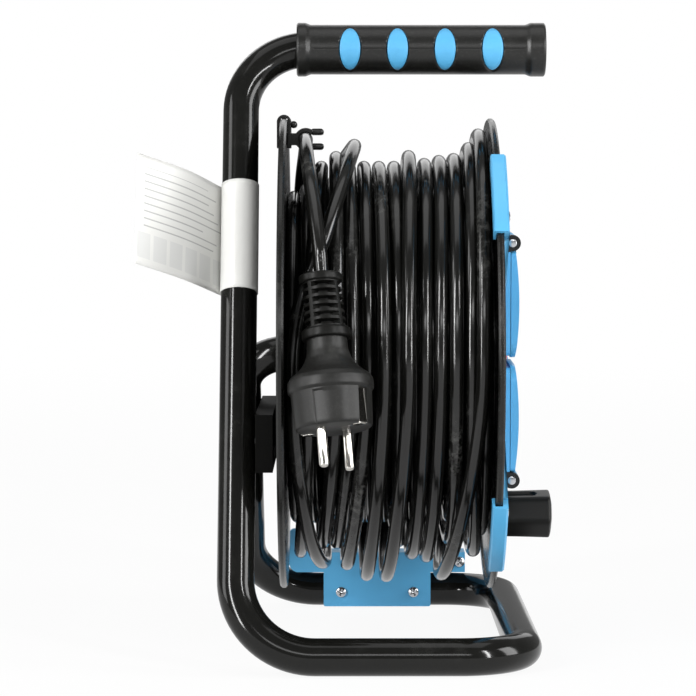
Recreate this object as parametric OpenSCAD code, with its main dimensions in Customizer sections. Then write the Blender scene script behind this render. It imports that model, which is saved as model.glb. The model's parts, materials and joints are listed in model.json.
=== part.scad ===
// Extension cord reel: a cable drum with four sockets, on a frame bent from one steel tube.
// Millimetres. X runs along the axle towards the sockets, Z is up, and Y runs away from the handle side.
// The origin is on the floor, below the middle of the frame.

/* [Frame tube] */
// Outer diameter of the frame tube
tube_d = 18; // [17:0.5:18]
// Wall thickness of the frame tube
tube_wall = 1.2; // [1:0.1:2]
// Distance between the two base tubes, centre to centre
base_span = 234; // [230:1:250]
// Height of the drum's axis above the floor
axis_h = 147; // [147:1:155]
// Height of the handle's centre line above the floor
handle_h = 302; // [302:1:320]
// Centre of both risers along X
riser_x = -55; // [-58:1:-55]
// Centre of the cross tube at the front of the base
front_x = 84; // [82:1:95]
// Bend radius between the riser and the handle
top_bend_r = 34; // [28:1:40]
// Bend radius between the risers and the base tubes
base_bend_r = 38; // [30:1:45]
// Bend radius of the base's two front corners
corner_bend_r = 32; // [30:1:45]
// Bend radius between the far riser and the axle
axle_bend_r = 23.5; // [22:0.5:23.5]
// Where the axle ends
axle_end_x = 46; // [44:1:48]

/* [Grip] */
// Where the grip starts and how long it is
grip_start_x = -27; // [-27:1:-20]
// Length of the grip
grip_l = 126.5; // [110:0.5:130]
// Diameter of the grip
grip_d = 25.2; // [24:0.2:26]
// Diameter of the grip's end collars
collar_d = 27.3; // [26:0.1:27.3]
// Height of one oval inlay
inlay_h = 21; // [16:0.5:22]
// Width of one oval inlay
inlay_w = 10.5; // [8:0.5:12]
// Distance from one inlay to the next
inlay_pitch = 24.1; // [20:0.1:26]

/* [Drum] */
// Radius of the flanges
flange_r = 120; // [112:1:120]
// Thickness of a flange at its rim
flange_t = 3.5; // [3:0.25:4]
// Outer face of the rear flange
rear_x = -35.25; // [-35.25:0.25:-34]
// Outer face of the front flange
face_x = 73.25; // [73:0.25:74]
// Outer radius of the hub
hub_r = 67.5; // [67.5:0.25:68.5]
// Angle that the drum is turned to about the axle when at rest
rest_turn = 1.5; // [0:0.5:10]

/* [Sockets] */
// Distance between neighbouring sockets, centre to centre
socket_pitch = 62; // [60:1:62]
// Radius of a socket's recess
recess_r = 19.8; // [19.5:0.1:20]
// Depth of a socket's recess
recess_depth = 17.5; // [17:0.5:18]
// Distance between a socket's two pin holes
pin_gap = 19; // [19:1:19]
// Radius of a pin hole
pin_hole_r = 2.7; // [2.6:0.1:2.8]
// Width of a lid
lid_w = 50; // [46:1:50]
// Distance of the lids' hinge pins from the drum's axis
hinge_off = 58.8; // [58:0.1:59]

/* [Crank knob] */
// Distance of the crank knob from the drum's axis
knob_off = 83; // [82:1:90]
// Width across the knob's flats
knob_w = 24.8; // [22:0.2:25]
// Where the knob ends
knob_end_x = 104; // [100:1:104]

/* [Cord] */
// Diameter of the cord
cord_d = 7; // [6.5:0.1:7]

/* [Plug] */
// Radius of the plug's widest collar
plug_r = 20.5; // [19:0.1:20.5]
// Length of a plug pin
plug_pin_l = 19; // [19:1:19]
// Radius of a plug pin
plug_pin_r = 2.4; // [2.4:0.1:2.4]

/* [Hidden] */
$fn = 48;

black_steel = "#161616";
black_plastic = "#1d1d1f";
blue_plastic = "#3f9fe6";
zinc = "#b9bcc0";
brass = "#c9a44c";

// frame
tube_r = tube_d / 2;
base_z = tube_r;
half_span = base_span / 2;
near_lean = atan(half_span / (handle_h - base_z));
near_len = norm([half_span, handle_h - base_z]);
far_lean = atan(half_span / (axis_h - base_z));
far_len = norm([half_span, axis_h - base_z]);
handle_end_x = grip_start_x + grip_l - 4;
fit_gap = 0.05;
body_gap = 0.3;
overrun = 1;

// brace between the risers
brace_z = 108;
brace_h = 28;
brace_d = 8.5;
brace_sheet = 2;
brace_over = 11;
brace_screw_r = 2.5;
brace_screw_in = 6;
screw_head_h = 2;
riser_side_x = riser_x + tube_r;
near_riser_y = -half_span + half_span * (brace_z - base_z) / (handle_h - base_z);
far_riser_y = half_span - half_span * (brace_z - base_z) / (axis_h - base_z);

// bracket on the far base tube
plate_t = 4;
plate_y = half_span - tube_r;
plate_low_x = [-14, 45];
plate_top_x = [-33, 64];
plate_z = [1, 20, 31, 44];
leg_w = 7;
plate_corner = 5;
tube_screw_x = [-4.4, 35.6];
top_screw_x = [19.5, 61];
top_screw_z = 25.8;
bracket_screw_r = 1.9;
bracket_head_r = 2.9;
back_depth = 14;
back_top_x = -26;

// label round the near riser
label_v = [183.5, 241];
label_t = 0.5;
label_flag_t = 0.4;
label_flag_l = 75;
label_left_x = -104;
label_angles = [54, 46];
label_steps = 8;

// drum
rear_in_x = rear_x + flange_t;
face_in_x = face_x - flange_t;
rim_w = 5;
web_t = 2.5;
hub_wall = 2;
hub_ring_w = 6;
rear_hole_r = 60;
face_hole_r = 66;
rib_w = 2;
rib_count = 12;
rear_web_x = -14;
front_web_x = 36;
hub_web_t = 3;
bush_l = 12;
bush_r = 13;
boss_r = 16;
rear_bush_x = -20;
front_bush_x = axle_end_x - body_gap - bush_l;
axle_screw_r = 3;
axle_head_r = 6;
axle_head_h = 4;
axle_plug_l = 16;
washer_t = 2;
collar_l = 6;

// front cover and its saddles over the rim
cover_t = 2.5;
cover_x = face_x + cover_t;
cover_half = 68;
saddle_arc = 24;
saddle_r = flange_r + body_gap;
saddle_wall = 2;
saddle_leg = 10;
saddle_hook = 6;
saddle_in_x = face_in_x - body_gap;
arm_half = saddle_r * sin(saddle_arc / 2);
arm_angles = [45, 135, 225, 315];
cover_screw_off = 102;
cover_screw_r = 1.75;
cover_head_r = 3.5;

// sockets
socket_off = socket_pitch / 2;
socket_y_side = [-1, 1, -1, 1];
socket_z_side = [1, 1, -1, -1];
socket_x = 79;
cup_r = recess_r + 1.7;
floor_t = 4;
recess_x = socket_x - recess_depth;
cup_x = recess_x - floor_t;
socket_plate_z = [3, 55.5];
plate_round = 3.5;
hinge_x = socket_x + 1;
ear_r = 4;
ear_w = 5;
hinge_pin_r = 1.5;
knuckle_r = 3.9;
knuckle_half = lid_w / 2 - ear_w - body_gap;
trough_r = 4.4;
spring_half = 5.5;
spring_r = 2.9;
clip_w = 5;
clip_t = 1.2;
clip_in = 0.7;
clip_l = 14;
tulip_l = 12;
tulip_r = 3.8;
tulip_in_r = 2.5;
bar_t = 1.5;
bar_w = 5;

// lids
lid_x = socket_x + body_gap;
lid_top_x = 84;
lid_z = [1.8, 54.4];
lid_bulge_r = 165;
lid_round = 9;
lid_tongue_t = 2.7;
lid_seal_r = 20.8;
lid_seal_depth = 1.7;
thumb_r = 7;
thumb_cut = 1.2;

// thermal cut-out in the middle of the cover
cutout_r = 9;
cutout_x = 56;
cutout_collar_r = 6.4;
cutout_collar_h = 2;
button_r = 4.5;
button_x = [73, 80.5];
button_well_x = 70;

// crank knob
crank_pin_r = 4;
crank_collar_r = 7.5;
crank_collar_x = 77.3;
crank_pin_end_x = 98;
knob_x = crank_collar_x + body_gap;
knob_round_r = 14.2;

// clip on the rear rim, and the lead's place in it
lead_x = -22.4;
lead_r = 109.4;
clip_half = 6;
clip_wall = 1.9;
clip_leg = 17;
clip_cap = 1.8;
clip_top_r = flange_t / 2 + clip_wall;
clip_ring_r = cord_d / 2 + 2.2;
prong_l = 9;
prong_t = 2;
prong_off = 2.4;

// winding: place along X and distance from the axis of each loop of the outer layer,
// at the far side, at the top, at the near side and at the bottom
cord_r = cord_d / 2;
layer_r = 90;
core_r = layer_r - cord_r - 0.1;
far_x = [66.2, 58.6, 51.1, 43.6, 36.1, 28.6, 21.1, 13.6, 6.1, -1.4, -8.9, -16.4, -23.9];
far_r = [99, 97.5, 90, 90, 90, 90, 97.5, 90, 90, 90, 90, 90, 90];
top_x = [65.5, 60.5, 53, 45.5, 38, 30, 22.5, 14.8, 7.2, -0.4, -7, -14.5];
top_r = [111.5, 104.5, 99, 98, 96.5, 100.5, 95, 95, 95, 95, 100, 95];
near_x = [64, 58.8, 51.2, 43.7, 36, 28, 23.5, 16.3, 8.8, 1.2, -6.4, -20];
near_r = [97.5, 90, 92.5, 90, 90, 97, 90, 96, 90, 90, 90, 90];
low_x = [46.5, 63, 51, 39, 31.5, 18.5, 25, 8.5, -1.5, -6.5, -14, -25];
low_r = [113, 101, 95.5, 104, 102.5, 114, 96, 113.5, 108, 97, 97, 101.5];
loops = len(top_x);
start_angle = -90;
rings_per_loop = 24;
winding_sides = 6;
lead_sides = 8;
stub_l = 14;

// where the cord's end goes through the hub's wall into the rear chamber, and the clamp that holds it
tail_x = -27;
tail_in_y = -58.7;
tail_lean = 5.4;
tail_l = 34;
clamp_x = -31;
clamp_y = [-63, -54.5];
clamp_half = 9;
inner_cable_z = 3;
terminal_l = 12;

// plug: its widest collar's centre, and how it hangs
plug_at = [-9.6, -117.5, 139.5];
plug_swing = -4.7;
plug_tip = -15.5;
plug_turn = 52;
plug_collar_h = 9;
plug_base_z = -23.3;
plug_base_r = 19;
plug_neck_z = 20.8;
plug_neck_r = 9.5;
relief_top_z = 51.5;
relief_r = 9.6;
relief_low_r = 12;
relief_top_r = 10.5;
relief_slot_z = [28, 32, 36, 40, 44];
relief_slot_h = 1.8;
relief_core_r = 6.5;
relief_web_w = 4;
pin_shank_r = 2;
pin_shank_l = 5;

// the lead's route from the last loop, once round the drum, through the clip and down to the plug:
// place along X, angle from the top towards the handle side, and distance from the axis
lead_stations = [
    [-23.9, -90, 90], [-23.8, -84, 91], [-22.8, -74, 94.4], [-19.8, -62, 98], [-15, -48, 101.5],
    [-9.5, -36, 104.3], [-4.5, -24, 105.8], [0.5, -11, 106.3], [2.3, 0, 106.2], [1.5, 14, 106],
    [-3.5, 34, 105.2], [-11.5, 52, 102.5], [-20.5, 66, 98.5], [-25.5, 76, 95], [-27.7, 86, 93],
    [-27.9, 96, 93], [-27.2, 110, 97], [-24.5, 126, 101.8], [-20.5, 144, 104.8], [-16, 162, 106.5],
    [-12.8, 180, 107], [-13.5, 200, 106], [-17, 220, 103.5], [-21.5, 240, 101], [-25.6, 258, 99.6],
    [-27.6, 276, 100], [-27.8, 294, 101.6], [-26.8, 312, 103.6], [-25.3, 328, 105.6],
    [-23.4, 342, 107.8], [-22.4, 354, 109.4], [-22.4, 363, 109.5], [-22.3, 372, 110.3], [-21.7, 382, 111.5],
    [-20.6, 392, 112.8], [-19, 402, 113.9], [-17, 411, 114.5]];

// ---------- shapes that repeat ----------

// a solid bar along X from x0 to x1
module bar_x(x0, x1, r) {
    translate([x0, 0, 0])
        rotate([0, 90, 0])
            cylinder(h = x1 - x0, r = r);
}

// a body of revolution about X; the points are [radius, x]
module turned_x(points) {
    rotate([0, 90, 0])
        rotate_extrude()
            polygon(points);
}

// a ring about X
module ring_x(x0, x1, r_out, r_in) {
    turned_x([[r_in, x0], [r_out, x0], [r_out, x1], [r_in, x1]]);
}

// a bar along Y, centred on y = 0
module bar_y(half, r) {
    rotate([90, 0, 0])
        cylinder(h = 2 * half, r = r, center = true);
}

// a box from its lowest to its highest corner
module block(low, high) {
    translate(low)
        cube(high - low);
}

// a flat rectangle from low to high with round corners
module round_rect(low, high, r) {
    for (x = [low[0] + r, high[0] - r], y = [low[1] + r, high[1] - r])
        translate([x, y])
            circle(r);
    translate([low[0] + r, low[1]])
        square([high[0] - low[0] - 2 * r, high[1] - low[1]]);
    translate([low[0], low[1] + r])
        square([high[0] - low[0], high[1] - low[1] - 2 * r]);
}

// an outline drawn in Y and Z, made solid from x0 to x1
module slab_x(x0, x1) {
    translate([x0, 0, 0])
        rotate([90, 0, 90])
            linear_extrude(x1 - x0)
                children();
}

// the drum's axis, not turned
module on_axis() {
    translate([0, 0, axis_h])
        children();
}

// the drum's own frame, turned to its angle at rest
module on_drum() {
    on_axis()
        rotate([rest_turn, 0, 0])
            children();
}

// one socket's place; the lower sockets are the upper ones mirrored
module at_socket(i) {
    on_drum()
        translate([0, socket_y_side[i] * socket_off, 0])
            if (socket_z_side[i] > 0)
                children();
            else
                mirror([0, 0, 1])
                    children();
}

// points and faces of one tube along a path; out holds a direction off the axis at each point
function unit(v) = v / norm(v);
function heading(path, i) = unit(path[min(i + 1, len(path) - 1)] - path[max(i - 1, 0)]);
function tube_ring(at, along, out, r, sides) =
    let (side = unit(cross(along, out)), up = cross(side, along))
    [for (k = [0:sides - 1]) at + r * (cos(360 * k / sides) * up + sin(360 * k / sides) * side)];

module swept_tube(path, outs, r, sides) {
    n = len(path);
    points = [for (i = [0:n - 1]) each tube_ring(path[i], heading(path, i), outs[i], r, sides)];
    walls = [for (i = [0:n - 2], k = [0:sides - 1])
        let (a = i * sides + k, b = i * sides + (k + 1) % sides)
        each [[a, a + sides, b + sides], [a, b + sides, b]]];
    start = [for (k = [1:sides - 2]) [0, k, k + 1]];
    end = [for (k = [1:sides - 2]) [(n - 1) * sides, (n - 1) * sides + k + 1, (n - 1) * sides + k]];
    polyhedron(points = points, faces = concat(walls, start, end));
}

// ---------- routes of the cord ----------

// a point off the drum's axis, and the direction from the axis to it
function off_axis(angle) = [0, -sin(angle), cos(angle)];
function around(x, angle, r) = [x, 0, axis_h] + r * off_axis(angle);

// smooth step between neighbouring values of a list
function eased(values, t) =
    let (i = min(floor(t), len(values) - 2), f = t - i, s = f * f * (3 - 2 * f))
    values[i] * (1 - s) + values[i + 1] * s;

// the loops' places a quarter turn apart, and their distances at the sides half a turn apart
quarter_x = concat([for (k = [0:loops - 1]) each [far_x[k], top_x[k], near_x[k], low_x[k]]], [far_x[loops]]);
half_r = concat([for (k = [0:loops - 1]) each [far_r[k], near_r[k]]], [far_r[loops]]);
function loop_radius(turn, angle) =
    let (k = min(floor(turn), loops - 1), across = pow(sin(angle), 2))
    eased(half_r, 2 * turn) * across + (cos(angle) > 0 ? top_r[k] : low_r[k]) * (1 - across);

winding_angles = [for (i = [0:loops * rings_per_loop]) start_angle + 360 * i / rings_per_loop];
winding_path = [for (a = winding_angles)
    let (turn = (a - start_angle) / 360)
    around(eased(quarter_x, 4 * turn), a, loop_radius(turn, a))];

// Catmull-Rom curve through the stations, two rings to a stretch
function spline(p0, p1, p2, p3, t) =
    0.5 * (2 * p1 + (p2 - p0) * t + (2 * p0 - 5 * p1 + 4 * p2 - p3) * t * t
    + (3 * p1 - p0 - 3 * p2 + p3) * t * t * t);
lead_last = len(lead_stations) - 1;
lead_smooth = [for (i = [1:lead_last - 1], t = [0, 0.5])
    spline(lead_stations[i - 1], lead_stations[i], lead_stations[i + 1],
        lead_stations[min(i + 2, lead_last)], t)];
plug_up = [sin(plug_swing) * cos(plug_tip), -sin(plug_tip), cos(plug_swing) * cos(plug_tip)];
lead_path = concat([around(lead_stations[0][0], lead_stations[0][1], lead_stations[0][2])],
    [for (s = lead_smooth) around(s[0], s[1], s[2])],
    [plug_at + (relief_top_z + 2 * cord_d) * plug_up, plug_at + (relief_top_z + cord_d) * plug_up,
        plug_at + relief_top_z * plug_up]);
lead_outs = [for (p = lead_path) unit([0, p[1], p[2] - axis_h])];

// least distance between points of a path that lie more than a few rings apart, less the cord itself
function self_gap(path, skip) =
    min([for (i = [0:len(path) - 1 - skip], j = [i + skip:len(path) - 1]) norm(path[i] - path[j])]) - cord_d;
function path_gap(a, b, skip) =
    min([for (i = [0:len(a) - 1 - skip], j = [skip:len(b) - 1]) norm(a[i] - b[j])]) - cord_d;
echo(winding_self_gap = self_gap(winding_path, 6), lead_self_gap = self_gap(lead_path, 6),
    winding_to_lead_gap = path_gap(winding_path, lead_path, 3));

// ---------- frame ----------

// a quarter bend in the plane of X and Z
module bend(cx, cz, bend_r, from_angle, r) {
    translate([cx, 0, cz])
        rotate([90, 0, 0])
            rotate([0, 0, from_angle])
                rotate_extrude(angle = 90)
                    translate([bend_r, 0])
                        circle(r);
}

// a quarter bend in plan
module corner(cx, cy, from_angle, r) {
    translate([cx, cy, base_z])
        rotate([0, 0, from_angle])
            rotate_extrude(angle = 90)
                translate([corner_bend_r, 0])
                    circle(r);
}

// the leaning plane of the near riser and handle: X, and the distance up the riser as Z
module near_plane() {
    translate([0, -half_span, base_z])
        rotate([-near_lean, 0, 0])
            children();
}

// the leaning plane of the far riser and the axle
module far_plane() {
    translate([0, half_span, base_z])
        rotate([far_lean, 0, 0])
            children();
}

// base tube, bend, riser, bend and the level run that ends it, in a leaning plane
module loop_half(length, bend_top_r, end_x, r) {
    bar_x(riser_x + base_bend_r, front_x - corner_bend_r, r);
    bend(riser_x + base_bend_r, base_bend_r, base_bend_r, 180, r);
    translate([riser_x, 0, base_bend_r])
        cylinder(h = length - base_bend_r - bend_top_r, r = r);
    bend(riser_x + bend_top_r, length - bend_top_r, bend_top_r, 90, r);
    translate([0, 0, length])
        bar_x(riser_x + bend_top_r, end_x, r);
}

module frame_run(r) {
    near_plane()
        loop_half(near_len, top_bend_r, handle_end_x, r);
    far_plane()
        loop_half(far_len, axle_bend_r, axle_end_x, r);
    corner(front_x - corner_bend_r, -half_span + corner_bend_r, -90, r);
    corner(front_x - corner_bend_r, half_span - corner_bend_r, 0, r);
    translate([front_x, 0, base_z])
        bar_y(half_span - corner_bend_r, r);
}

module frame_tube() {
    color(black_steel)
        difference() {
            frame_run(tube_r);
            frame_run(tube_r - tube_wall);
            for (y = [near_riser_y, far_riser_y])
                translate([0, y, brace_z])
                    bar_x(riser_x, riser_side_x + overrun, brace_screw_r);
            for (x = tube_screw_x)
                translate([x, half_span - tube_r, base_z])
                    bar_y(tube_r, bracket_screw_r);
        }
}

module inlay_places() {
    for (i = [0:3], side = [0, 180])
        translate([grip_start_x + grip_l / 2 + (i - 1.5) * inlay_pitch, 0, handle_h])
            rotate([side, 0, 0])
                children();
}

// an oval prism that points out of the grip towards -Y
module inlay_prism() {
    rotate([90, 0, 0])
        linear_extrude(grip_d)
            polygon([for (a = [0:12:348]) [inlay_w / 2 * cos(a), inlay_h / 2 * sin(a)]]);
}

inlay_in_r = grip_d / 2 - 1.6;
inlay_out_r = grip_d / 2 + 0.3;

module grip_sleeve() {
    end_x = grip_start_x + grip_l;
    color(black_plastic)
        difference() {
            translate([0, 0, handle_h])
                turned_x([[0, handle_end_x], [tube_r, handle_end_x], [tube_r, grip_start_x],
                    [collar_d / 2, grip_start_x], [collar_d / 2, grip_start_x + 4],
                    [grip_d / 2, grip_start_x + 7], [grip_d / 2, end_x - 10],
                    [collar_d / 2, end_x - 7], [collar_d / 2, end_x - 1],
                    [collar_d / 2 - 1, end_x], [0, end_x]]);
            inlay_places()
                difference() {
                    inlay_prism();
                    bar_x(-inlay_w, inlay_w, inlay_in_r);
                }
        }
}

module grip_inlays() {
    color(blue_plastic)
        inlay_places()
            intersection() {
                inlay_prism();
                ring_x(-inlay_w, inlay_w, inlay_out_r, inlay_in_r);
            }
}

module cross_brace() {
    low_y = near_riser_y - brace_over;
    high_y = far_riser_y + brace_over;
    low_z = brace_z - brace_h / 2;
    high_z = brace_z + brace_h / 2;
    color(black_steel)
        difference() {
            block([riser_side_x, low_y, low_z], [riser_side_x + brace_d, high_y, high_z]);
            block([riser_side_x + brace_sheet, low_y + brace_sheet, low_z + brace_sheet],
                [riser_side_x + brace_d + overrun, high_y - brace_sheet, high_z - brace_sheet]);
            for (y = [near_riser_y, far_riser_y])
                translate([0, y, brace_z])
                    bar_x(riser_side_x - overrun, riser_side_x + brace_d, brace_screw_r);
        }
}

module brace_screws() {
    head_x = riser_side_x + brace_sheet;
    color(zinc)
        for (y = [near_riser_y, far_riser_y])
            translate([0, y, brace_z]) {
                bar_x(riser_side_x - brace_screw_in, head_x, brace_screw_r);
                difference() {
                    bar_x(head_x, head_x + screw_head_h, 2 * brace_screw_r);
                    cross_slot(head_x + screw_head_h / 2, brace_screw_r);
                }
            }
}

// the cross-shaped slot of a screw head that faces +X
module cross_slot(x, r) {
    for (a = [0, 90])
        rotate([a, 0, 0])
            block([x, -r, -r / 5], [x + 2 * screw_head_h, r, r / 5]);
}

module plate_outline() {
    round_rect([plate_low_x[0], plate_z[0]], [plate_low_x[1], plate_z[1] + plate_corner], 1);
    round_rect([plate_top_x[0], plate_z[1]], [plate_top_x[1], plate_z[2]], plate_corner);
    translate([plate_top_x[1] - plate_corner, plate_z[1]])
        square([plate_corner, plate_z[2] - plate_z[1]]);
    round_rect([plate_top_x[0], plate_z[1] + plate_corner], [plate_top_x[0] + leg_w, plate_z[3]], 3);
}

module bracket_plate() {
    color(blue_plastic)
        difference() {
            translate([0, plate_y, 0])
                rotate([90, 0, 0])
                    linear_extrude(plate_t)
                        plate_outline();
            bracket_screw_holes();
        }
}

module bracket_screw_holes() {
    for (x = tube_screw_x)
        translate([x, plate_y, base_z])
            bar_y(plate_t + overrun, bracket_screw_r);
    for (x = top_screw_x)
        translate([x, plate_y, top_screw_z])
            bar_y(back_depth + overrun, bracket_screw_r);
}

// the saddle block behind the plate, seated on the tube
module bracket_back() {
    color(blue_plastic)
        difference() {
            union() {
                block([plate_low_x[0], plate_y, plate_z[1] - 8], [plate_low_x[1], plate_y + back_depth, plate_z[2]]);
                block([back_top_x, plate_y, plate_z[1]], [plate_top_x[1], plate_y + back_depth, plate_z[2]]);
            }
            translate([0, half_span, base_z])
                bar_x(plate_top_x[0], plate_top_x[1], tube_r);
            bracket_screw_holes();
        }
}

module bracket_screw(depth) {
    difference() {
        union() {
            rotate([90, 0, 0])
                cylinder(h = screw_head_h, r = bracket_head_r);
            rotate([-90, 0, 0])
                cylinder(h = depth, r = bracket_screw_r);
        }
        translate([0, -screw_head_h / 2, 0])
            rotate([0, 0, -90])
                cross_slot(0, bracket_screw_r);
    }
}

module bracket_screws() {
    color(zinc) {
        for (x = tube_screw_x)
            translate([x, plate_y - plate_t, base_z])
                bracket_screw(plate_t + tube_wall + 3);
        for (x = top_screw_x)
            translate([x, plate_y - plate_t, top_screw_z])
                bracket_screw(plate_t + back_depth);
    }
}

// outline of the label's free end: it leaves the tube as a tangent and opens out a little
module label_flag() {
    step = label_flag_l / label_steps;
    angles = [for (i = [0:label_steps - 1])
        label_angles[0] + (label_angles[1] - label_angles[0]) * i / (label_steps - 1)];
    start = (tube_r + label_t / 2) * [-sin(label_angles[0]), cos(label_angles[0])];
    line = [for (i = 0, p = start; i <= label_steps;
        p = i < label_steps ? p - step * [cos(angles[i]), sin(angles[i])] : p, i = i + 1) p];
    side = label_flag_t / 2 * [-sin(angles[0]), cos(angles[0])];
    polygon(concat([for (p = line) p + side], [for (i = [label_steps:-1:0]) line[i] - side]));
}

module info_label() {
    color("white")
        near_plane()
            translate([riser_x, 0, label_v[0]])
                intersection() {
                    linear_extrude(label_v[1] - label_v[0]) {
                        difference() {
                            circle(tube_r + label_t);
                            circle(tube_r);
                        }
                        label_flag();
                    }
                    block([label_left_x - riser_x, -base_span, 0], [base_span, base_span, base_span]);
                }
}

module axle_collar() {
    color(zinc)
        on_axis()
            ring_x(rear_bush_x - body_gap - collar_l, rear_bush_x - body_gap, bush_r, tube_r);
}

module axle_plug() {
    color(zinc)
        on_axis()
            ring_x(axle_end_x - axle_plug_l, axle_end_x, tube_r - tube_wall, axle_screw_r);
}

module axle_washer() {
    color(zinc)
        on_axis()
            ring_x(axle_end_x, axle_end_x + washer_t, bush_r, axle_screw_r);
}

module axle_screw() {
    head_x = axle_end_x + washer_t;
    color(zinc)
        on_axis()
            difference() {
                turned_x([[0, head_x - axle_plug_l], [axle_screw_r, head_x - axle_plug_l], [axle_screw_r, head_x],
                    [axle_head_r, head_x], [axle_head_r, head_x + axle_head_h], [0, head_x + axle_head_h]]);
                cross_slot(head_x + axle_head_h / 2, axle_screw_r);
            }
}

// ---------- drum ----------

module hub_barrel() {
    color(black_plastic)
        on_drum()
            difference() {
                ring_x(rear_in_x, face_in_x, hub_r, hub_r - hub_wall);
                tail_bar(clamp_half, tail_l + cord_d, cord_r + fit_gap);
            }
}

// a straight bar along the cord's end, measured from the middle of the clamp
module tail_bar(start, end, r) {
    translate([tail_x, tail_in_y, 0])
        rotate([-tail_lean, 0, 0])
            translate([0, 0, -end])
                cylinder(h = end - start, r = r);
}

// a web inside the hub with the boss that holds a bush
module hub_web(web_x, bush_x) {
    color(black_plastic)
        on_drum()
            difference() {
                turned_x([[hub_r - hub_wall, web_x], [hub_r - hub_wall, web_x + hub_web_t],
                    [boss_r, web_x + hub_web_t], [boss_r, bush_x + bush_l], [bush_r, bush_x + bush_l],
                    [bush_r, bush_x], [boss_r, bush_x], [boss_r, web_x]]);
                translate([0, tail_in_y, inner_cable_z])
                    bar_x(web_x - overrun, web_x + hub_web_t + overrun, cord_r + fit_gap);
            }
}

module rear_web() {
    hub_web(rear_web_x, rear_bush_x);
}

module front_web() {
    hub_web(front_web_x, front_bush_x);
}

// stiffening ribs on the outside of the rear flange
module ribs(x0, x1, r0, r1) {
    for (i = [0:rib_count - 1])
        rotate([360 * (i + 0.5) / rib_count, 0, 0])
            block([x0, -rib_w / 2, r0], [x1, rib_w / 2, r1]);
}

module rear_flange() {
    web_x = rear_in_x - web_t;
    ring_r = hub_r + hub_ring_w;
    color(black_plastic)
        on_drum() {
            turned_x([[rear_hole_r, rear_x], [ring_r, rear_x], [ring_r, web_x], [flange_r - rim_w, web_x],
                [flange_r - rim_w, rear_x], [flange_r - 1, rear_x], [flange_r, rear_x + 1],
                [flange_r, rear_in_x - 1], [flange_r - 1, rear_in_x], [rear_hole_r, rear_in_x]]);
            ribs(rear_x, web_x, ring_r - overrun, flange_r - rim_w + overrun);
        }
}

module front_flange() {
    web_x = face_x - web_t;
    ring_r = hub_r + hub_ring_w;
    color(black_plastic)
        on_drum()
            difference() {
                turned_x([[face_hole_r, face_in_x], [ring_r, face_in_x], [ring_r, web_x],
                    [flange_r - rim_w, web_x], [flange_r - rim_w, face_in_x], [flange_r - 1, face_in_x],
                    [flange_r, face_in_x + 1], [flange_r, face_x - 1], [flange_r - 1, face_x],
                    [face_hole_r, face_x]]);
                translate([0, 0, -knob_off])
                    bar_x(web_x - overrun, face_x + overrun, crank_pin_r);
                cover_screw_places()
                    bar_x(web_x - overrun, face_x + overrun, cover_screw_r);
            }
}

module bush(x) {
    color("white")
        on_drum()
            ring_x(x, x + bush_l, bush_r, tube_r + fit_gap);
}

module rear_bush() {
    bush(rear_bush_x);
}

module front_bush() {
    bush(front_bush_x);
}

module cover_screw_places() {
    for (a = arm_angles)
        rotate([a, 0, 0])
            translate([0, 0, cover_screw_off])
                children();
}

// one saddle: a channel bent round the flange's rim, at the end of an arm
module saddle() {
    out_r = saddle_r + saddle_wall;
    rotate([-saddle_arc / 2, 0, 0])
        rotate([0, 90, 0])
            rotate([0, 0, 180])
                rotate_extrude(angle = saddle_arc)
                    polygon([[saddle_r - saddle_hook, saddle_in_x - saddle_wall],
                        [out_r - 1, saddle_in_x - saddle_wall], [out_r, saddle_in_x - saddle_wall + 1],
                        [out_r, cover_x - 1], [out_r - 1, cover_x], [saddle_r - saddle_leg, cover_x],
                        [saddle_r - saddle_leg, face_x], [saddle_r, face_x],
                        [saddle_r, saddle_in_x], [saddle_r - saddle_hook, saddle_in_x]]);
}

module front_cover() {
    color(blue_plastic)
        on_drum()
            difference() {
                union() {
                    slab_x(face_x, cover_x) {
                        round_rect([-cover_half, -cover_half], [cover_half, cover_half], 6);
                        intersection() {
                            circle(saddle_r - saddle_leg / 2);
                            for (a = arm_angles)
                                rotate(a)
                                    translate([-arm_half, 0])
                                        square([2 * arm_half, flange_r]);
                        }
                    }
                    for (a = arm_angles)
                        rotate([a, 0, 0])
                            saddle();
                }
                for (y = [-socket_off, socket_off], z = [-socket_off, socket_off])
                    translate([0, y, z])
                        bar_x(face_x - overrun, cover_x + overrun, cup_r);
                bar_x(face_x - overrun, cover_x + overrun, cutout_r);
                cover_screw_places()
                    bar_x(face_x - overrun, cover_x + overrun, cover_screw_r);
            }
}

module cover_screws() {
    color(zinc)
        on_drum()
            cover_screw_places()
                difference() {
                    turned_x([[0, face_x - web_t], [cover_screw_r, face_x - web_t], [cover_screw_r, cover_x],
                        [cover_head_r, cover_x], [cover_head_r - 1, cover_x + screw_head_h],
                        [0, cover_x + screw_head_h]]);
                    cross_slot(cover_x + screw_head_h / 2, cover_screw_r);
                }
}

// the two pin holes' places in a socket
module pin_places() {
    for (z = [-pin_gap / 2, pin_gap / 2])
        translate([0, 0, socket_off + z])
            children();
}

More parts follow.
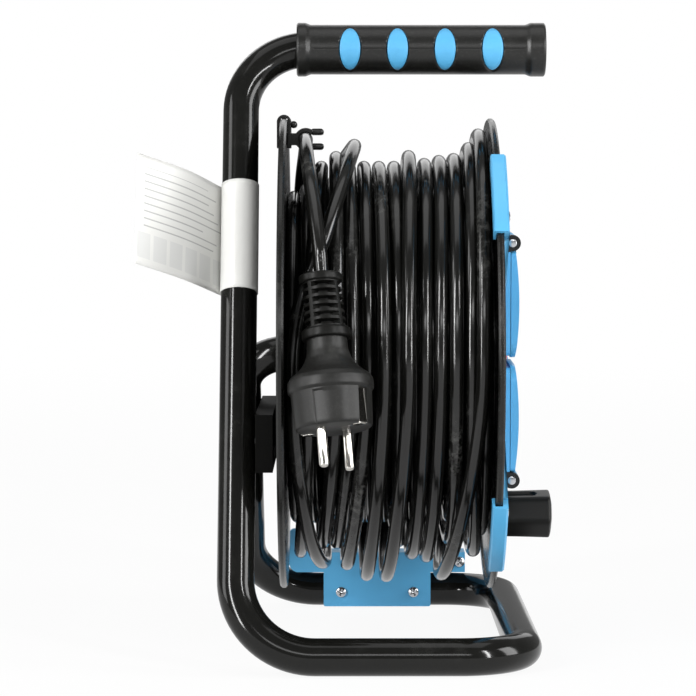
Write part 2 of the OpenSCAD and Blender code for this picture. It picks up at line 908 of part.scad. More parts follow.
module socket(i) {
    half = lid_w / 2;
    color(black_plastic)
        at_socket(i)
            difference() {
                union() {
                    translate([0, 0, socket_off])
                        bar_x(cup_x, socket_x, cup_r);
                    slab_x(cover_x, socket_x)
                        round_rect([-half, socket_plate_z[0]], [half, socket_plate_z[1]], plate_round);
                    for (y = [-half + ear_w / 2, half - ear_w / 2])
                        translate([0, y, 0]) {
                            translate([hinge_x, 0, hinge_off])
                                bar_y(ear_w / 2, ear_r);
                            block([hinge_x - ear_r, -ear_w / 2, socket_plate_z[1] - plate_round],
                                [socket_x, ear_w / 2, hinge_off]);
                        }
                }
                translate([0, 0, socket_off])
                    bar_x(recess_x, socket_x + overrun, recess_r);
                pin_places()
                    bar_x(cup_x - overrun, socket_x, pin_hole_r);
                translate([0, 0, socket_off])
                    block([socket_x - clip_l, -recess_r - clip_t + clip_in, -clip_w / 2],
                        [socket_x + overrun, recess_r + clip_t - clip_in, clip_w / 2]);
                translate([hinge_x, 0, hinge_off]) {
                    bar_y(half + overrun, hinge_pin_r);
                    bar_y(half - ear_w, trough_r);
                }
            }
}

module socket_1() {
    socket(0);
}

module socket_2() {
    socket(1);
}

module socket_3() {
    socket(2);
}

module socket_4() {
    socket(3);
}

// the sprung earth contacts in the walls of the recesses
module earth_clips() {
    out = recess_r + clip_t - clip_in;
    color(zinc)
        for (i = [0:3], side = [0, 1])
            at_socket(i)
                translate([0, 0, socket_off])
                    mirror([0, side, 0])
                        block([socket_x - clip_l, out - clip_t, -clip_w / 2], [socket_x - 1, out, clip_w / 2]);
}

// the spring contacts behind the pin holes
module contact_tulips() {
    color(brass)
        for (i = [0:3])
            at_socket(i)
                pin_places()
                    ring_x(cup_x - tulip_l, cup_x, tulip_r, tulip_in_r);
}

// the bars that join the contacts of neighbouring sockets
module bus_bars() {
    bar_x = cup_x - tulip_l;
    reach = socket_off + tulip_r;
    color(brass)
        on_drum()
            for (side = [-1, 1], z = [-pin_gap / 2, pin_gap / 2])
                translate([0, 0, side * (socket_off + z)])
                    block([bar_x - bar_t, -reach, -bar_w / 2], [bar_x, reach, bar_w / 2]);
}

module terminal_block() {
    start_x = front_web_x + hub_web_t;
    color("white")
        on_drum()
            block([start_x, clamp_y[0], inner_cable_z - 10], [start_x + terminal_l, clamp_y[1], inner_cable_z + 10]);
}

module cord_clamp() {
    color(black_plastic)
        on_drum()
            difference() {
                block([clamp_x, clamp_y[0], -clamp_half], [rear_web_x, clamp_y[1], clamp_half]);
                tail_bar(0, 2 * clamp_half, cord_r + fit_gap);
            }
}

// the cable that goes on from the clamp, through both webs, to the terminal block
module inner_cable() {
    color(black_plastic)
        on_drum()
            translate([0, tail_in_y, inner_cable_z])
                bar_x(rear_web_x, front_web_x + hub_web_t, cord_r);
}

module cutout_body() {
    top_x = cover_x + cutout_collar_h;
    color(black_plastic)
        on_drum()
            turned_x([[0, cutout_x], [cutout_r, cutout_x], [cutout_r, cover_x], [cutout_collar_r, cover_x],
                [cutout_collar_r, top_x], [button_r + body_gap, top_x], [button_r + body_gap, button_well_x],
                [0, button_well_x]]);
}

module reset_button() {
    color("red")
        on_drum()
            turned_x([[0, button_x[0]], [button_r, button_x[0]], [button_r, button_x[1] - 1],
                [button_r - 1, button_x[1]], [0, button_x[1]]]);
}

module lid_pins() {
    color(zinc)
        for (i = [0:3])
            at_socket(i)
                translate([hinge_x, 0, hinge_off])
                    bar_y(lid_w / 2 + 0.5, hinge_pin_r);
}

// the springs that close the lids, as plain sleeves round the pins
module lid_springs() {
    color(zinc)
        for (i = [0:3])
            at_socket(i)
                translate([hinge_x, 0, hinge_off])
                    difference() {
                        bar_y(spring_half, spring_r);
                        bar_y(spring_half + overrun, hinge_pin_r);
                    }
}

module lid(i) {
    mid_z = (lid_z[0] + lid_z[1]) / 2;
    color(blue_plastic)
        at_socket(i)
            difference() {
                union() {
                    intersection() {
                        slab_x(lid_x, lid_top_x) {
                            round_rect([-lid_w / 2, lid_z[0]], [lid_w / 2, lid_z[1]], lid_round);
                            round_rect([-lid_w / 2, mid_z], [lid_w / 2, lid_z[1]], 2);
                        }
                        translate([lid_top_x - lid_bulge_r, 0, mid_z])
                            bar_y(lid_w, lid_bulge_r, $fn = 480);
                    }
                    block([lid_x, -knuckle_half, lid_z[1] - 1], [lid_x + lid_tongue_t, knuckle_half, hinge_off]);
                    translate([hinge_x, 0, hinge_off])
                        bar_y(knuckle_half, knuckle_r);
                }
                translate([hinge_x, 0, hinge_off]) {
                    bar_y(lid_w, hinge_pin_r + fit_gap);
                    bar_y(spring_half + body_gap, trough_r - body_gap);
                }
                translate([0, 0, socket_off])
                    ring_x(lid_x - overrun, lid_x + lid_seal_depth, lid_seal_r, 0);
                translate([lid_top_x + thumb_r - thumb_cut, 0, lid_z[0]])
                    sphere(thumb_r);
            }
}

module lid_1() {
    lid(0);
}

module lid_2() {
    lid(1);
}

module lid_3() {
    lid(2);
}

module lid_4() {
    lid(3);
}

module crank_pin() {
    color(zinc)
        on_drum()
            translate([0, 0, -knob_off])
                turned_x([[0, face_x - web_t], [crank_pin_r, face_x - web_t], [crank_pin_r, face_x],
                    [crank_collar_r, face_x], [crank_collar_r, crank_collar_x], [crank_pin_r, crank_collar_x],
                    [crank_pin_r, crank_pin_end_x], [0, crank_pin_end_x]]);
}

module crank_knob() {
    half = knob_w / 2;
    color(black_plastic)
        on_drum()
            translate([0, 0, -knob_off])
                difference() {
                    intersection() {
                        block([knob_x, -half, -half], [knob_end_x, half, half]);
                        turned_x([[0, knob_x], [knob_round_r - 1.5, knob_x], [knob_round_r, knob_end_x - 3],
                            [knob_round_r - 2, knob_end_x], [0, knob_end_x]]);
                    }
                    bar_x(knob_x - overrun, crank_pin_end_x + 1, crank_pin_r + fit_gap);
                }
}

// ---------- clip, cord and plug ----------

// outline of the clip, in X and Z: a saddle on the rim, and a ring that is open on the right
module clip_outline() {
    ring_z = lead_r;
    difference() {
        union() {
            translate([rear_x + flange_t / 2, flange_r + clip_cap - clip_top_r])
                circle(clip_top_r);
            translate([rear_x - clip_wall, flange_r + clip_cap - clip_leg])
                square([2 * clip_top_r, clip_leg - clip_top_r]);
            translate([rear_in_x, ring_z - 3])
                square([lead_x - rear_in_x, 6]);
            translate([lead_x, ring_z])
                circle(clip_ring_r);
            for (side = [-1, 1])
                translate([lead_x, ring_z + side * (prong_off + prong_t / 2) - prong_t / 2])
                    square([prong_l, prong_t]);
        }
        translate([rear_x, flange_r - 2 * clip_leg])
            square([flange_t, 2 * clip_leg]);
        translate([lead_x, ring_z])
            circle(cord_r + fit_gap);
        translate([lead_x, ring_z - prong_off])
            square([2 * prong_l, 2 * prong_off]);
    }
}

module rim_clip() {
    color(black_plastic)
        on_axis()
            translate([0, clip_half, 0])
                rotate([90, 0, 0])
                    linear_extrude(2 * clip_half)
                        clip_outline();
}

// the inner layers of the winding, the end that goes into the hub, and the climb to the outer layer
module cord_core() {
    color(black_plastic) {
        on_axis() {
            ring_x(rear_in_x, face_in_x, core_r, hub_r);
            translate([far_x[0], 0, 0])
                rotate([start_angle, 0, 0])
                    climb();
        }
        on_drum()
            tail_bar(0, tail_l, cord_r);
    }
}

// a straight end of cord that lies on the inner layers
module climb() {
    translate([0, 0, far_r[0]])
        rotate([-90, 0, 0])
            cylinder(h = stub_l, r = cord_r);
    block([-cord_r, 0, core_r - 2], [cord_r, stub_l, far_r[0]]);
}

module cord_winding() {
    color(black_plastic)
        swept_tube(winding_path, [for (a = winding_angles) off_axis(a)], cord_r, winding_sides);
}

module cord_lead() {
    color(black_plastic)
        swept_tube(lead_path, lead_outs, cord_r, lead_sides);
}

// the plug's own frame: the cord comes from above, the pins point down
module on_plug() {
    translate(plug_at)
        rotate([0, plug_swing, 0])
            rotate([plug_tip, 0, 0])
                rotate([0, 0, plug_turn])
                    children();
}

module plug_relief() {
    color(black_plastic)
        on_plug()
            difference() {
                rotate_extrude()
                    polygon([[0, plug_neck_z], [relief_low_r, plug_neck_z], [relief_low_r, plug_neck_z + 5],
                        [relief_r + 0.6, plug_neck_z + 6], [relief_r, relief_top_z - 5],
                        [relief_top_r, relief_top_z - 4.5], [relief_top_r, relief_top_z - 0.7],
                        [relief_top_r - 0.7, relief_top_z], [0, relief_top_z]]);
                for (z = relief_slot_z)
                    translate([0, 0, z])
                        relief_slot();
            }
}

// a slot round the relief, left out at the four webs
module relief_slot() {
    difference() {
        cylinder(h = relief_slot_h, r = relief_low_r + overrun);
        translate([0, 0, -overrun])
            cylinder(h = relief_slot_h + 2 * overrun, r = relief_core_r);
        for (a = [0, 90])
            rotate([0, 0, a])
                block([-relief_web_w / 2, -2 * relief_low_r, -overrun],
                    [relief_web_w / 2, 2 * relief_low_r, relief_slot_h + overrun]);
    }
}

module plug_body() {
    half_h = plug_collar_h / 2;
    color(black_plastic)
        on_plug()
            difference() {
                rotate_extrude()
                    polygon([[0, plug_base_z], [plug_base_r - 1, plug_base_z], [plug_base_r, plug_base_z + 1],
                        [plug_base_r + 0.3, -half_h], [plug_r - 0.5, -half_h], [plug_r, 1 - half_h],
                        [plug_r, half_h - 3], [plug_r - 4, half_h], [13.5, half_h + 4], [11, half_h + 8],
                        [plug_neck_r, half_h + 12], [plug_neck_r, plug_neck_z], [0, plug_neck_z]]);
                for (x = [-pin_gap / 2, pin_gap / 2])
                    translate([x, 0, plug_base_z - overrun])
                        cylinder(h = pin_shank_l + overrun, r = pin_shank_r);
                for (side = [-1, 1])
                    block([-earth_w / 2, side > 0 ? earth_in : -plug_r - overrun, plug_base_z - overrun],
                        [earth_w / 2, side > 0 ? plug_r + overrun : -earth_in, -half_h - 1]);
            }
}

earth_w = 6;
earth_in = plug_base_r - 2.2;
earth_t = 1;

module plug_pins() {
    color(zinc)
        on_plug()
            for (x = [-pin_gap / 2, pin_gap / 2])
                translate([x, 0, plug_base_z - plug_pin_l])
                    rotate_extrude()
                        polygon([[0, 0], [plug_pin_r - 1, 0], [plug_pin_r, 1], [plug_pin_r, plug_pin_l],
                            [pin_shank_r, plug_pin_l], [pin_shank_r, plug_pin_l + pin_shank_l],
                            [0, plug_pin_l + pin_shank_l]]);
}

// the earth contacts in the plug's two side grooves
module plug_earth() {
    color(zinc)
        on_plug()
            for (side = [0, 1])
                mirror([0, side, 0])
                    block([-earth_w / 2, earth_in, plug_base_z + 1],
                        [earth_w / 2, earth_in + earth_t, -plug_collar_h / 2 - 1]);
}

frame_tube();
grip_sleeve();
grip_inlays();
cross_brace();
brace_screws();
bracket_plate();
bracket_back();
bracket_screws();
info_label();
axle_collar();
axle_plug();
axle_washer();
axle_screw();
hub_barrel();
rear_web();
front_web();
rear_flange();
front_flange();
rear_bush();
front_bush();
front_cover();
cover_screws();
socket_1();
socket_2();
socket_3();
socket_4();
earth_clips();
contact_tulips();
bus_bars();
terminal_block();
cord_clamp();
inner_cable();
cutout_body();
reset_button();
lid_pins();
lid_springs();
lid_1();
lid_2();
lid_3();
lid_4();
crank_pin();
crank_knob();
rim_clip();
cord_core();
cord_winding();
cord_lead();
plug_relief();
plug_body();
plug_pins();
plug_earth();
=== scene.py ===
"""An extension cord reel: a drum of black cord with lidded sockets, on a frame bent from one steel tube.

Sizes in the classes are millimetres in the part's own frame; meshes are written in metres.
"""

from __future__ import annotations

import json
import logging
import math
from dataclasses import dataclass
from enum import Enum
from typing import Any, Iterable, Sequence

import bmesh
import bpy
import numpy as np
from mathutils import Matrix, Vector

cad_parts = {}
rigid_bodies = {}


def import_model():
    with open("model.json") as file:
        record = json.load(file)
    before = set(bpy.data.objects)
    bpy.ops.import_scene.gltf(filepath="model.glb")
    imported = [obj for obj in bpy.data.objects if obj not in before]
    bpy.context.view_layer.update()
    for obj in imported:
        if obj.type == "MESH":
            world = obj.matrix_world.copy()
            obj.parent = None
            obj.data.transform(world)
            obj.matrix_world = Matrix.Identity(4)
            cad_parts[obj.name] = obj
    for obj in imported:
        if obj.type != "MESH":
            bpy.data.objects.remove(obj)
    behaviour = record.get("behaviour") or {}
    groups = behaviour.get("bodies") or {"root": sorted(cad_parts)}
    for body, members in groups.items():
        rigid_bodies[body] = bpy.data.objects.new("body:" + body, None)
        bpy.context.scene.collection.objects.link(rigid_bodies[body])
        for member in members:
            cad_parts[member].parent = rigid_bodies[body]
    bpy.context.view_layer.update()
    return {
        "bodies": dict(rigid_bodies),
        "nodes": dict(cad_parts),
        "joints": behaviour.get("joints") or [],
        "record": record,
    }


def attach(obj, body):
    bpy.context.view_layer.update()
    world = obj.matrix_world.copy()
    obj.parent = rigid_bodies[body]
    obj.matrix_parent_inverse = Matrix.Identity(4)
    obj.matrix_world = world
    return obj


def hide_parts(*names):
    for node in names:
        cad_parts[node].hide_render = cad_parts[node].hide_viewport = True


LOG = logging.getLogger("cord_reel")
MM = 0.001
Vec = Sequence[float]


# ---------- plain geometry ----------


def turned(axis: str, degrees: float) -> np.ndarray:
    """A rotation matrix about one axis, by the right-hand rule.

    Args:
        axis: "x", "y" or "z".
        degrees: The angle.

    Returns:
        The 3 by 3 matrix.
    """
    c, s = math.cos(math.radians(degrees)), math.sin(math.radians(degrees))
    rows = {
        "x": [[1, 0, 0], [0, c, -s], [0, s, c]],
        "y": [[c, 0, s], [0, 1, 0], [-s, 0, c]],
        "z": [[c, -s, 0], [s, c, 0], [0, 0, 1]],
    }
    return np.array(rows[axis], float)


def ramp(low: float, high: float, value: np.ndarray) -> np.ndarray:
    """A smooth step: 0 below low, 1 above high, and 3t^2 - 2t^3 of the share t in between."""
    t = np.clip((np.asarray(value, float) - low) / (high - low), 0, 1)
    return t * t * (3 - 2 * t)


def band(value: np.ndarray, middle: float, half: float, edge: float) -> np.ndarray:
    """1 within half of the middle and 0 beyond half + edge, with a smooth step between."""
    return 1 - ramp(half, half + edge, np.abs(value - middle))


def unit(v: np.ndarray) -> np.ndarray:
    """Vectors along the last axis, each divided by its length."""
    return v / np.linalg.norm(v, axis=-1, keepdims=True)


@dataclass
class Shape:
    """Points and blocks of faces; each block holds faces of one number of corners, and their UV.

    Args:
        points: An n by 3 array of millimetres.
        faces: Arrays of m by k point numbers.
        uv: Arrays of m by k by 2, one for each block.
    """

    points: np.ndarray
    faces: list[np.ndarray]
    uv: list[np.ndarray]

    def moved(self, rotation: np.ndarray | None = None, offset: Vec = (0, 0, 0)) -> "Shape":
        """The shape turned and then shifted; a mirror image gets its faces turned round.

        Args:
            rotation: A 3 by 3 matrix, or None for no turn.
            offset: The shift.

        Returns:
            A new shape.
        """
        rotation = np.eye(3) if rotation is None else rotation
        points = self.points @ rotation.T + np.array(offset, float)
        if np.linalg.det(rotation) > 0:
            return Shape(points, self.faces, self.uv)
        return Shape(points, [f[:, ::-1] for f in self.faces], [u[:, ::-1] for u in self.uv])

    def bent(self, points: np.ndarray) -> "Shape":
        """The same faces on other points."""
        return Shape(points, self.faces, self.uv)

    @staticmethod
    def joined(shapes: Iterable["Shape"]) -> "Shape":
        """All shapes as one, with the point numbers of each shifted past those before it."""
        parts = list(shapes)
        starts = np.cumsum([0] + [len(s.points) for s in parts])
        faces = [f + start for s, start in zip(parts, starts) for f in s.faces]
        uv = [u for s in parts for u in s.uv]
        return Shape(np.concatenate([s.points for s in parts]), faces, uv)


def grid(points: np.ndarray, close_rows: bool = False, close_cols: bool = False, caps: bool = False,
         size: tuple[float, float] = (1.0, 1.0)) -> Shape:
    """A surface on a grid of points: each face joins (i, j), (i, j+1), (i+1, j+1) and (i+1, j).

    Args:
        points: A rows by columns by 3 array.
        close_rows: Whether the last row joins the first.
        close_cols: Whether the last column joins the first.
        caps: Whether the first and last row are closed with one face each.
        size: What UV reads at the far end of the columns and of the rows.

    Returns:
        The shape, with U along the columns and V along the rows.
    """
    rows, cols = points.shape[:2]
    i, j = np.meshgrid(np.arange(rows if close_rows else rows - 1),
                       np.arange(cols if close_cols else cols - 1), indexing="ij")
    i, j = i.ravel(), j.ravel()
    corners = [(0, 0), (0, 1), (1, 1), (1, 0)]
    faces = np.stack([((i + a) % rows) * cols + (j + b) % cols for a, b in corners], axis=1)
    across = cols if close_cols else cols - 1
    along = rows if close_rows else rows - 1
    uv = np.stack([np.stack([(j + b) / across * size[0], (i + a) / along * size[1]], axis=1)
                   for a, b in corners], axis=1)
    blocks, maps = [faces], [uv]
    if caps:
        last = (rows - 1) * cols
        blocks += [np.arange(cols)[None, ::-1], last + np.arange(cols)[None, :]]
        maps += [np.zeros((1, cols, 2))] * 2
    return Shape(points.reshape(-1, 3), blocks, maps)


def filleted(corners: Sequence[Sequence[float]], steps: int = 5) -> np.ndarray:
    """A closed flat outline whose corners are arcs.

    Each corner (x, y, r) is cut back by r tan(half the turn) along both edges, and the arc between is
    a rational quadratic curve with the middle weight cos(half the turn), which is an exact circle.

    Args:
        corners: The corners in order, each with its radius.
        steps: Parts of each arc.

    Returns:
        An n by 2 array.
    """
    data = np.array(corners, float)
    p, radius = data[:, :2], data[:, 2]
    before, after = unit(np.roll(p, 1, 0) - p), unit(np.roll(p, -1, 0) - p)
    half = (np.pi - np.arccos(np.clip((before * after).sum(1), -1, 1))) / 2
    cut = (radius * np.tan(half))[:, None]
    t = np.linspace(0, 1, steps + 1)[None, :, None]
    w = np.cos(half)[:, None, None]
    a, b, c = (p + before * cut)[:, None], p[:, None], (p + after * cut)[:, None]
    top = (1 - t) ** 2 * a + 2 * t * (1 - t) * w * b + t ** 2 * c
    return (top / ((1 - t) ** 2 + 2 * t * (1 - t) * w + t ** 2)).reshape(-1, 2)


def inset(outline: np.ndarray, distance: float | np.ndarray) -> np.ndarray:
    """A closed outline that runs anticlockwise, moved inwards along its mitred corner directions."""
    ahead = unit(np.roll(outline, -1, 0) - outline)
    normal = np.stack([-ahead[:, 1], ahead[:, 0]], axis=1)
    back = np.roll(normal, 1, 0)
    mitre = (normal + back) / (1 + (normal * back).sum(1, keepdims=True))
    return outline + mitre * distance


def slab(outline: np.ndarray, low: float, high: float, edge: float, steps: int = 3) -> Shape:
    """A plate with rounded edges, thick along Z: quarter circles lead from each face to the wall.

    Args:
        outline: An anticlockwise outline without doubled points.
        low: The lower face's height.
        high: The upper face's height.
        edge: The edge radius.
        steps: Parts of each quarter circle.

    Returns:
        The closed shape.
    """
    keep = np.linalg.norm(outline - np.roll(outline, 1, 0), axis=1) > 1e-6
    outline = outline[keep]
    a = np.linspace(0, np.pi / 2, steps + 1)
    depth = np.concatenate([edge * (1 - np.sin(a)), edge * (1 - np.cos(a))])
    height = np.concatenate([low + edge * (1 - np.cos(a)), high - edge * (1 - np.sin(a))])
    rows = [np.column_stack([inset(outline, d), np.full(len(outline), h)]) for d, h in zip(depth, height)]
    return grid(np.stack(rows), close_cols=True, caps=True)


def swept(path: np.ndarray, hint: np.ndarray, radius: float | np.ndarray, sides: int,
          caps: bool = True) -> Shape:
    """A round tube along a path; each ring stands square to the path, and its first point lies towards hint.

    Args:
        path: An n by 3 centreline.
        hint: A direction at each point, or one for all, never along the path.
        radius: One radius or one for each point.
        sides: The number of points in a ring.
        caps: Whether the ends are closed.

    Returns:
        The shape, with V in metres along the path.
    """
    along = unit(np.gradient(path, axis=0))
    side = unit(np.cross(along, np.broadcast_to(hint, path.shape)))
    up = np.cross(side, along)
    a = circle(sides)
    r = np.broadcast_to(radius, len(path))[:, None, None]
    ring = np.cos(a)[None, :, None] * up[:, None] + np.sin(a)[None, :, None] * side[:, None]
    length = np.linalg.norm(np.diff(path, axis=0), axis=1).sum() * MM
    return grid(path[:, None] + r * ring, close_cols=True, caps=caps, size=(1.0, length))


def bent_line(corners: Sequence[Vec], radii: Sequence[float], step: float = 4.0) -> np.ndarray:
    """A line through corners with a circular bend at each inner one, as a tube bender makes it.

    Args:
        corners: The points where the straight runs would meet.
        radii: The bend radius at each inner corner.
        step: The spacing on bends; straight runs take four parts.

    Returns:
        An n by 3 path.
    """
    p = np.array(corners, float)
    runs = [p[0][None]]
    for k, radius in enumerate(radii, start=1):
        back, on = unit(p[k - 1] - p[k]), unit(p[k + 1] - p[k])
        half = (np.pi - np.arccos(np.clip(back @ on, -1, 1))) / 2
        start = p[k] + back * radius * math.tan(half)
        centre = p[k] + unit(back + on) * radius / math.cos(half)
        out, ahead = unit(start - centre), -back
        a = np.linspace(0, 2 * half, max(6, int(2 * half * radius / step)))[:, None]
        runs.append(np.linspace(runs[-1][-1], start, 5)[1:-1])
        runs.append(centre + radius * (np.cos(a) * out + np.sin(a) * ahead))
    runs.append(np.linspace(runs[-1][-1], p[-1], 5)[1:])
    return np.concatenate(runs)


def spline(stations: np.ndarray, parts: int) -> np.ndarray:
    """A Catmull-Rom curve: cubics whose slope at each station is half the step between its neighbours.

    Args:
        stations: An n by k array.
        parts: Steps between two stations.

    Returns:
        The points, with both end stations.
    """
    t = np.linspace(0, len(stations) - 1, (len(stations) - 1) * parts + 1)
    i = np.minimum(t.astype(int), len(stations) - 2)
    f = (t - i)[:, None]
    a, b, c, d = (stations[np.clip(i + k, 0, len(stations) - 1)] for k in (-1, 0, 1, 2))
    square, cube = 2 * a - 5 * b + 4 * c - d, 3 * b - a - 3 * c + d
    return 0.5 * (2 * b + (c - a) * f + square * f ** 2 + cube * f ** 3)


def circle(sides: int) -> np.ndarray:
    """The angles of evenly spread points round a circle, in radians."""
    return np.linspace(0, 2 * np.pi, sides, endpoint=False)


def round_x(radius: np.ndarray, x: np.ndarray, angle: np.ndarray, height: float) -> Shape:
    """A closed surface round a line along X.

    Args:
        radius: The radius at each x and angle; the point stands at (x, -r sin a, height + r cos a).
        x: The stations along X.
        angle: The angles from the top towards the near side.
        height: The line's height.

    Returns:
        The shape, with a cap at each end.
    """
    y, z = -radius * np.sin(angle), height + radius * np.cos(angle)
    return grid(np.stack([x[:, None] + 0 * radius, y, z], axis=-1), close_cols=True, caps=True)


# ---------- shader expressions ----------


class Wire:
    """A shader socket that takes part in arithmetic; each operator adds one Math node."""

    def __init__(self, net: "Net", socket: bpy.types.NodeSocket) -> None:
        """Keeps the net and the output socket."""
        self.net, self.socket = net, socket

    def _math(self, operation: str, *values: Any) -> "Wire":
        """One Math node on the given values."""
        return self.net.node("ShaderNodeMath", {"operation": operation}, dict(enumerate(values)))

    def __add__(self, other: Any) -> "Wire":
        """self + other."""
        return self._math("ADD", self, other)

    def __mul__(self, other: Any) -> "Wire":
        """self * other."""
        return self._math("MULTIPLY", self, other)

    def __sub__(self, other: Any) -> "Wire":
        """self - other."""
        return self._math("SUBTRACT", self, other)

    def __rsub__(self, other: Any) -> "Wire":
        """other - self."""
        return self._math("SUBTRACT", other, self)

    def __lt__(self, other: Any) -> "Wire":
        """1 where self is less than other."""
        return self._math("LESS_THAN", self, other)

    def __gt__(self, other: Any) -> "Wire":
        """1 where self is more than other."""
        return self._math("GREATER_THAN", self, other)

    __radd__, __rmul__ = __add__, __mul__

    def larger(self, other: Any) -> "Wire":
        """The larger of two values."""
        return self._math("MAXIMUM", self, other)

    def absolute(self) -> "Wire":
        """The value without its sign."""
        return self._math("ABSOLUTE", self)

    def fraction(self) -> "Wire":
        """What is left after the whole number."""
        return self._math("FRACT", self)

    def above(self, low: float, high: float) -> "Wire":
        """A smooth step from 0 at low to 1 at high."""
        inputs = {"Value": self, "From Min": low, "From Max": high}
        return self.net.node("ShaderNodeMapRange", {"interpolation_type": "SMOOTHSTEP"}, inputs)


class Net:
    """The node tree of one material, or of the world."""

    def __init__(self, name: str, world: bpy.types.World | None = None) -> None:
        """Starts an empty net, of a new material of that name where no world is given."""
        self.material = world or bpy.data.materials.new(name)
        self.material.use_nodes = True
        self.tree = self.material.node_tree
        self.tree.nodes.clear()

    def node(self, kind: str, settings: dict[str, Any] | None = None, inputs: dict[Any, Any] | None = None,
             output: str | int = 0) -> Wire:
        """Adds a node.

        Args:
            kind: The node's type.
            settings: Its properties, set before the sockets.
            inputs: Values or wires by socket name or number.
            output: The socket that is handed back.

        Returns:
            The output as a wire.
        """
        made = self.tree.nodes.new(kind)
        for key, value in (settings or {}).items():
            setattr(made, key, value)
        for key, value in (inputs or {}).items():
            if isinstance(value, Wire):
                self.tree.links.new(value.socket, made.inputs[key])
            else:
                made.inputs[key].default_value = value
        return Wire(self, made.outputs[output]) if len(made.outputs) else Wire(self, None)

    def mix(self, share: Any, low: Any, high: Any) -> Wire:
        """A colour between two, by share."""
        low, high = ((*c, 1.0) if isinstance(c, tuple) else c for c in (low, high))
        return self.node("ShaderNodeMix", {"data_type": "RGBA"}, {0: share, 6: low, 7: high}, 2)

    def place(self, source: str = "Object", stretch: Vec = (1, 1, 1)) -> Wire:
        """Coordinates of a point, stretched by a Mapping node."""
        at = self.node("ShaderNodeTexCoord", output=source)
        return self.node("ShaderNodeMapping", None, {"Vector": at, "Scale": tuple(stretch)})

    def uv(self) -> tuple[Wire, Wire]:
        """The piece's own U and V."""
        u = self.node("ShaderNodeSeparateXYZ", None, {0: self.node("ShaderNodeTexCoord", output="UV")})
        return u, Wire(self, u.socket.node.outputs[1])

    def point(self, **parts: Wire) -> Wire:
        """A vector put together from the parts that are given as X, Y or Z."""
        return self.node("ShaderNodeCombineXYZ", None, parts)

    def seen(self, reflected: float) -> Wire:
        """1 for rays from the camera or through glass, and the reflected share for rays in gloss."""
        outputs = self.node("ShaderNodeLightPath").socket.node.outputs
        camera, gloss, glass = (Wire(self, outputs[f"Is {kind} Ray"])
                                for kind in ("Camera", "Glossy", "Transmission"))
        return camera.larger(gloss * reflected).larger(glass)

    def noise(self, at: Wire, scale: float, detail: float = 3.0, rough: float = 0.55) -> Wire:
        """Cloudy noise around 0.5."""
        return self.node("ShaderNodeTexNoise", None,
                         {"Vector": at, "Scale": scale, "Detail": detail, "Roughness": rough})

    def bump(self, height: Wire, depth: float, under: Wire | None = None) -> Wire:
        """A normal bent by a height in metres."""
        inputs: dict[str, Any] = {"Height": height, "Distance": depth, "Strength": 1.0}
        if under is not None:
            inputs["Normal"] = under
        return self.node("ShaderNodeBump", None, inputs)

    def finish(self, inputs: dict[str, Any]) -> bpy.types.Material:
        """Closes the net with one principled shader.

        Args:
            inputs: Its sockets.

        Returns:
            The material.
        """
        shader = self.node("ShaderNodeBsdfPrincipled", None, inputs)
        self.node("ShaderNodeOutputMaterial", None, {"Surface": shader})
        return self.material


class Grain(Enum):
    """How a surface's fine pattern runs."""

    EVEN = (1.0, 1.0, 1.0)
    ALONG_Z = (1.0, 1.0, 0.04)


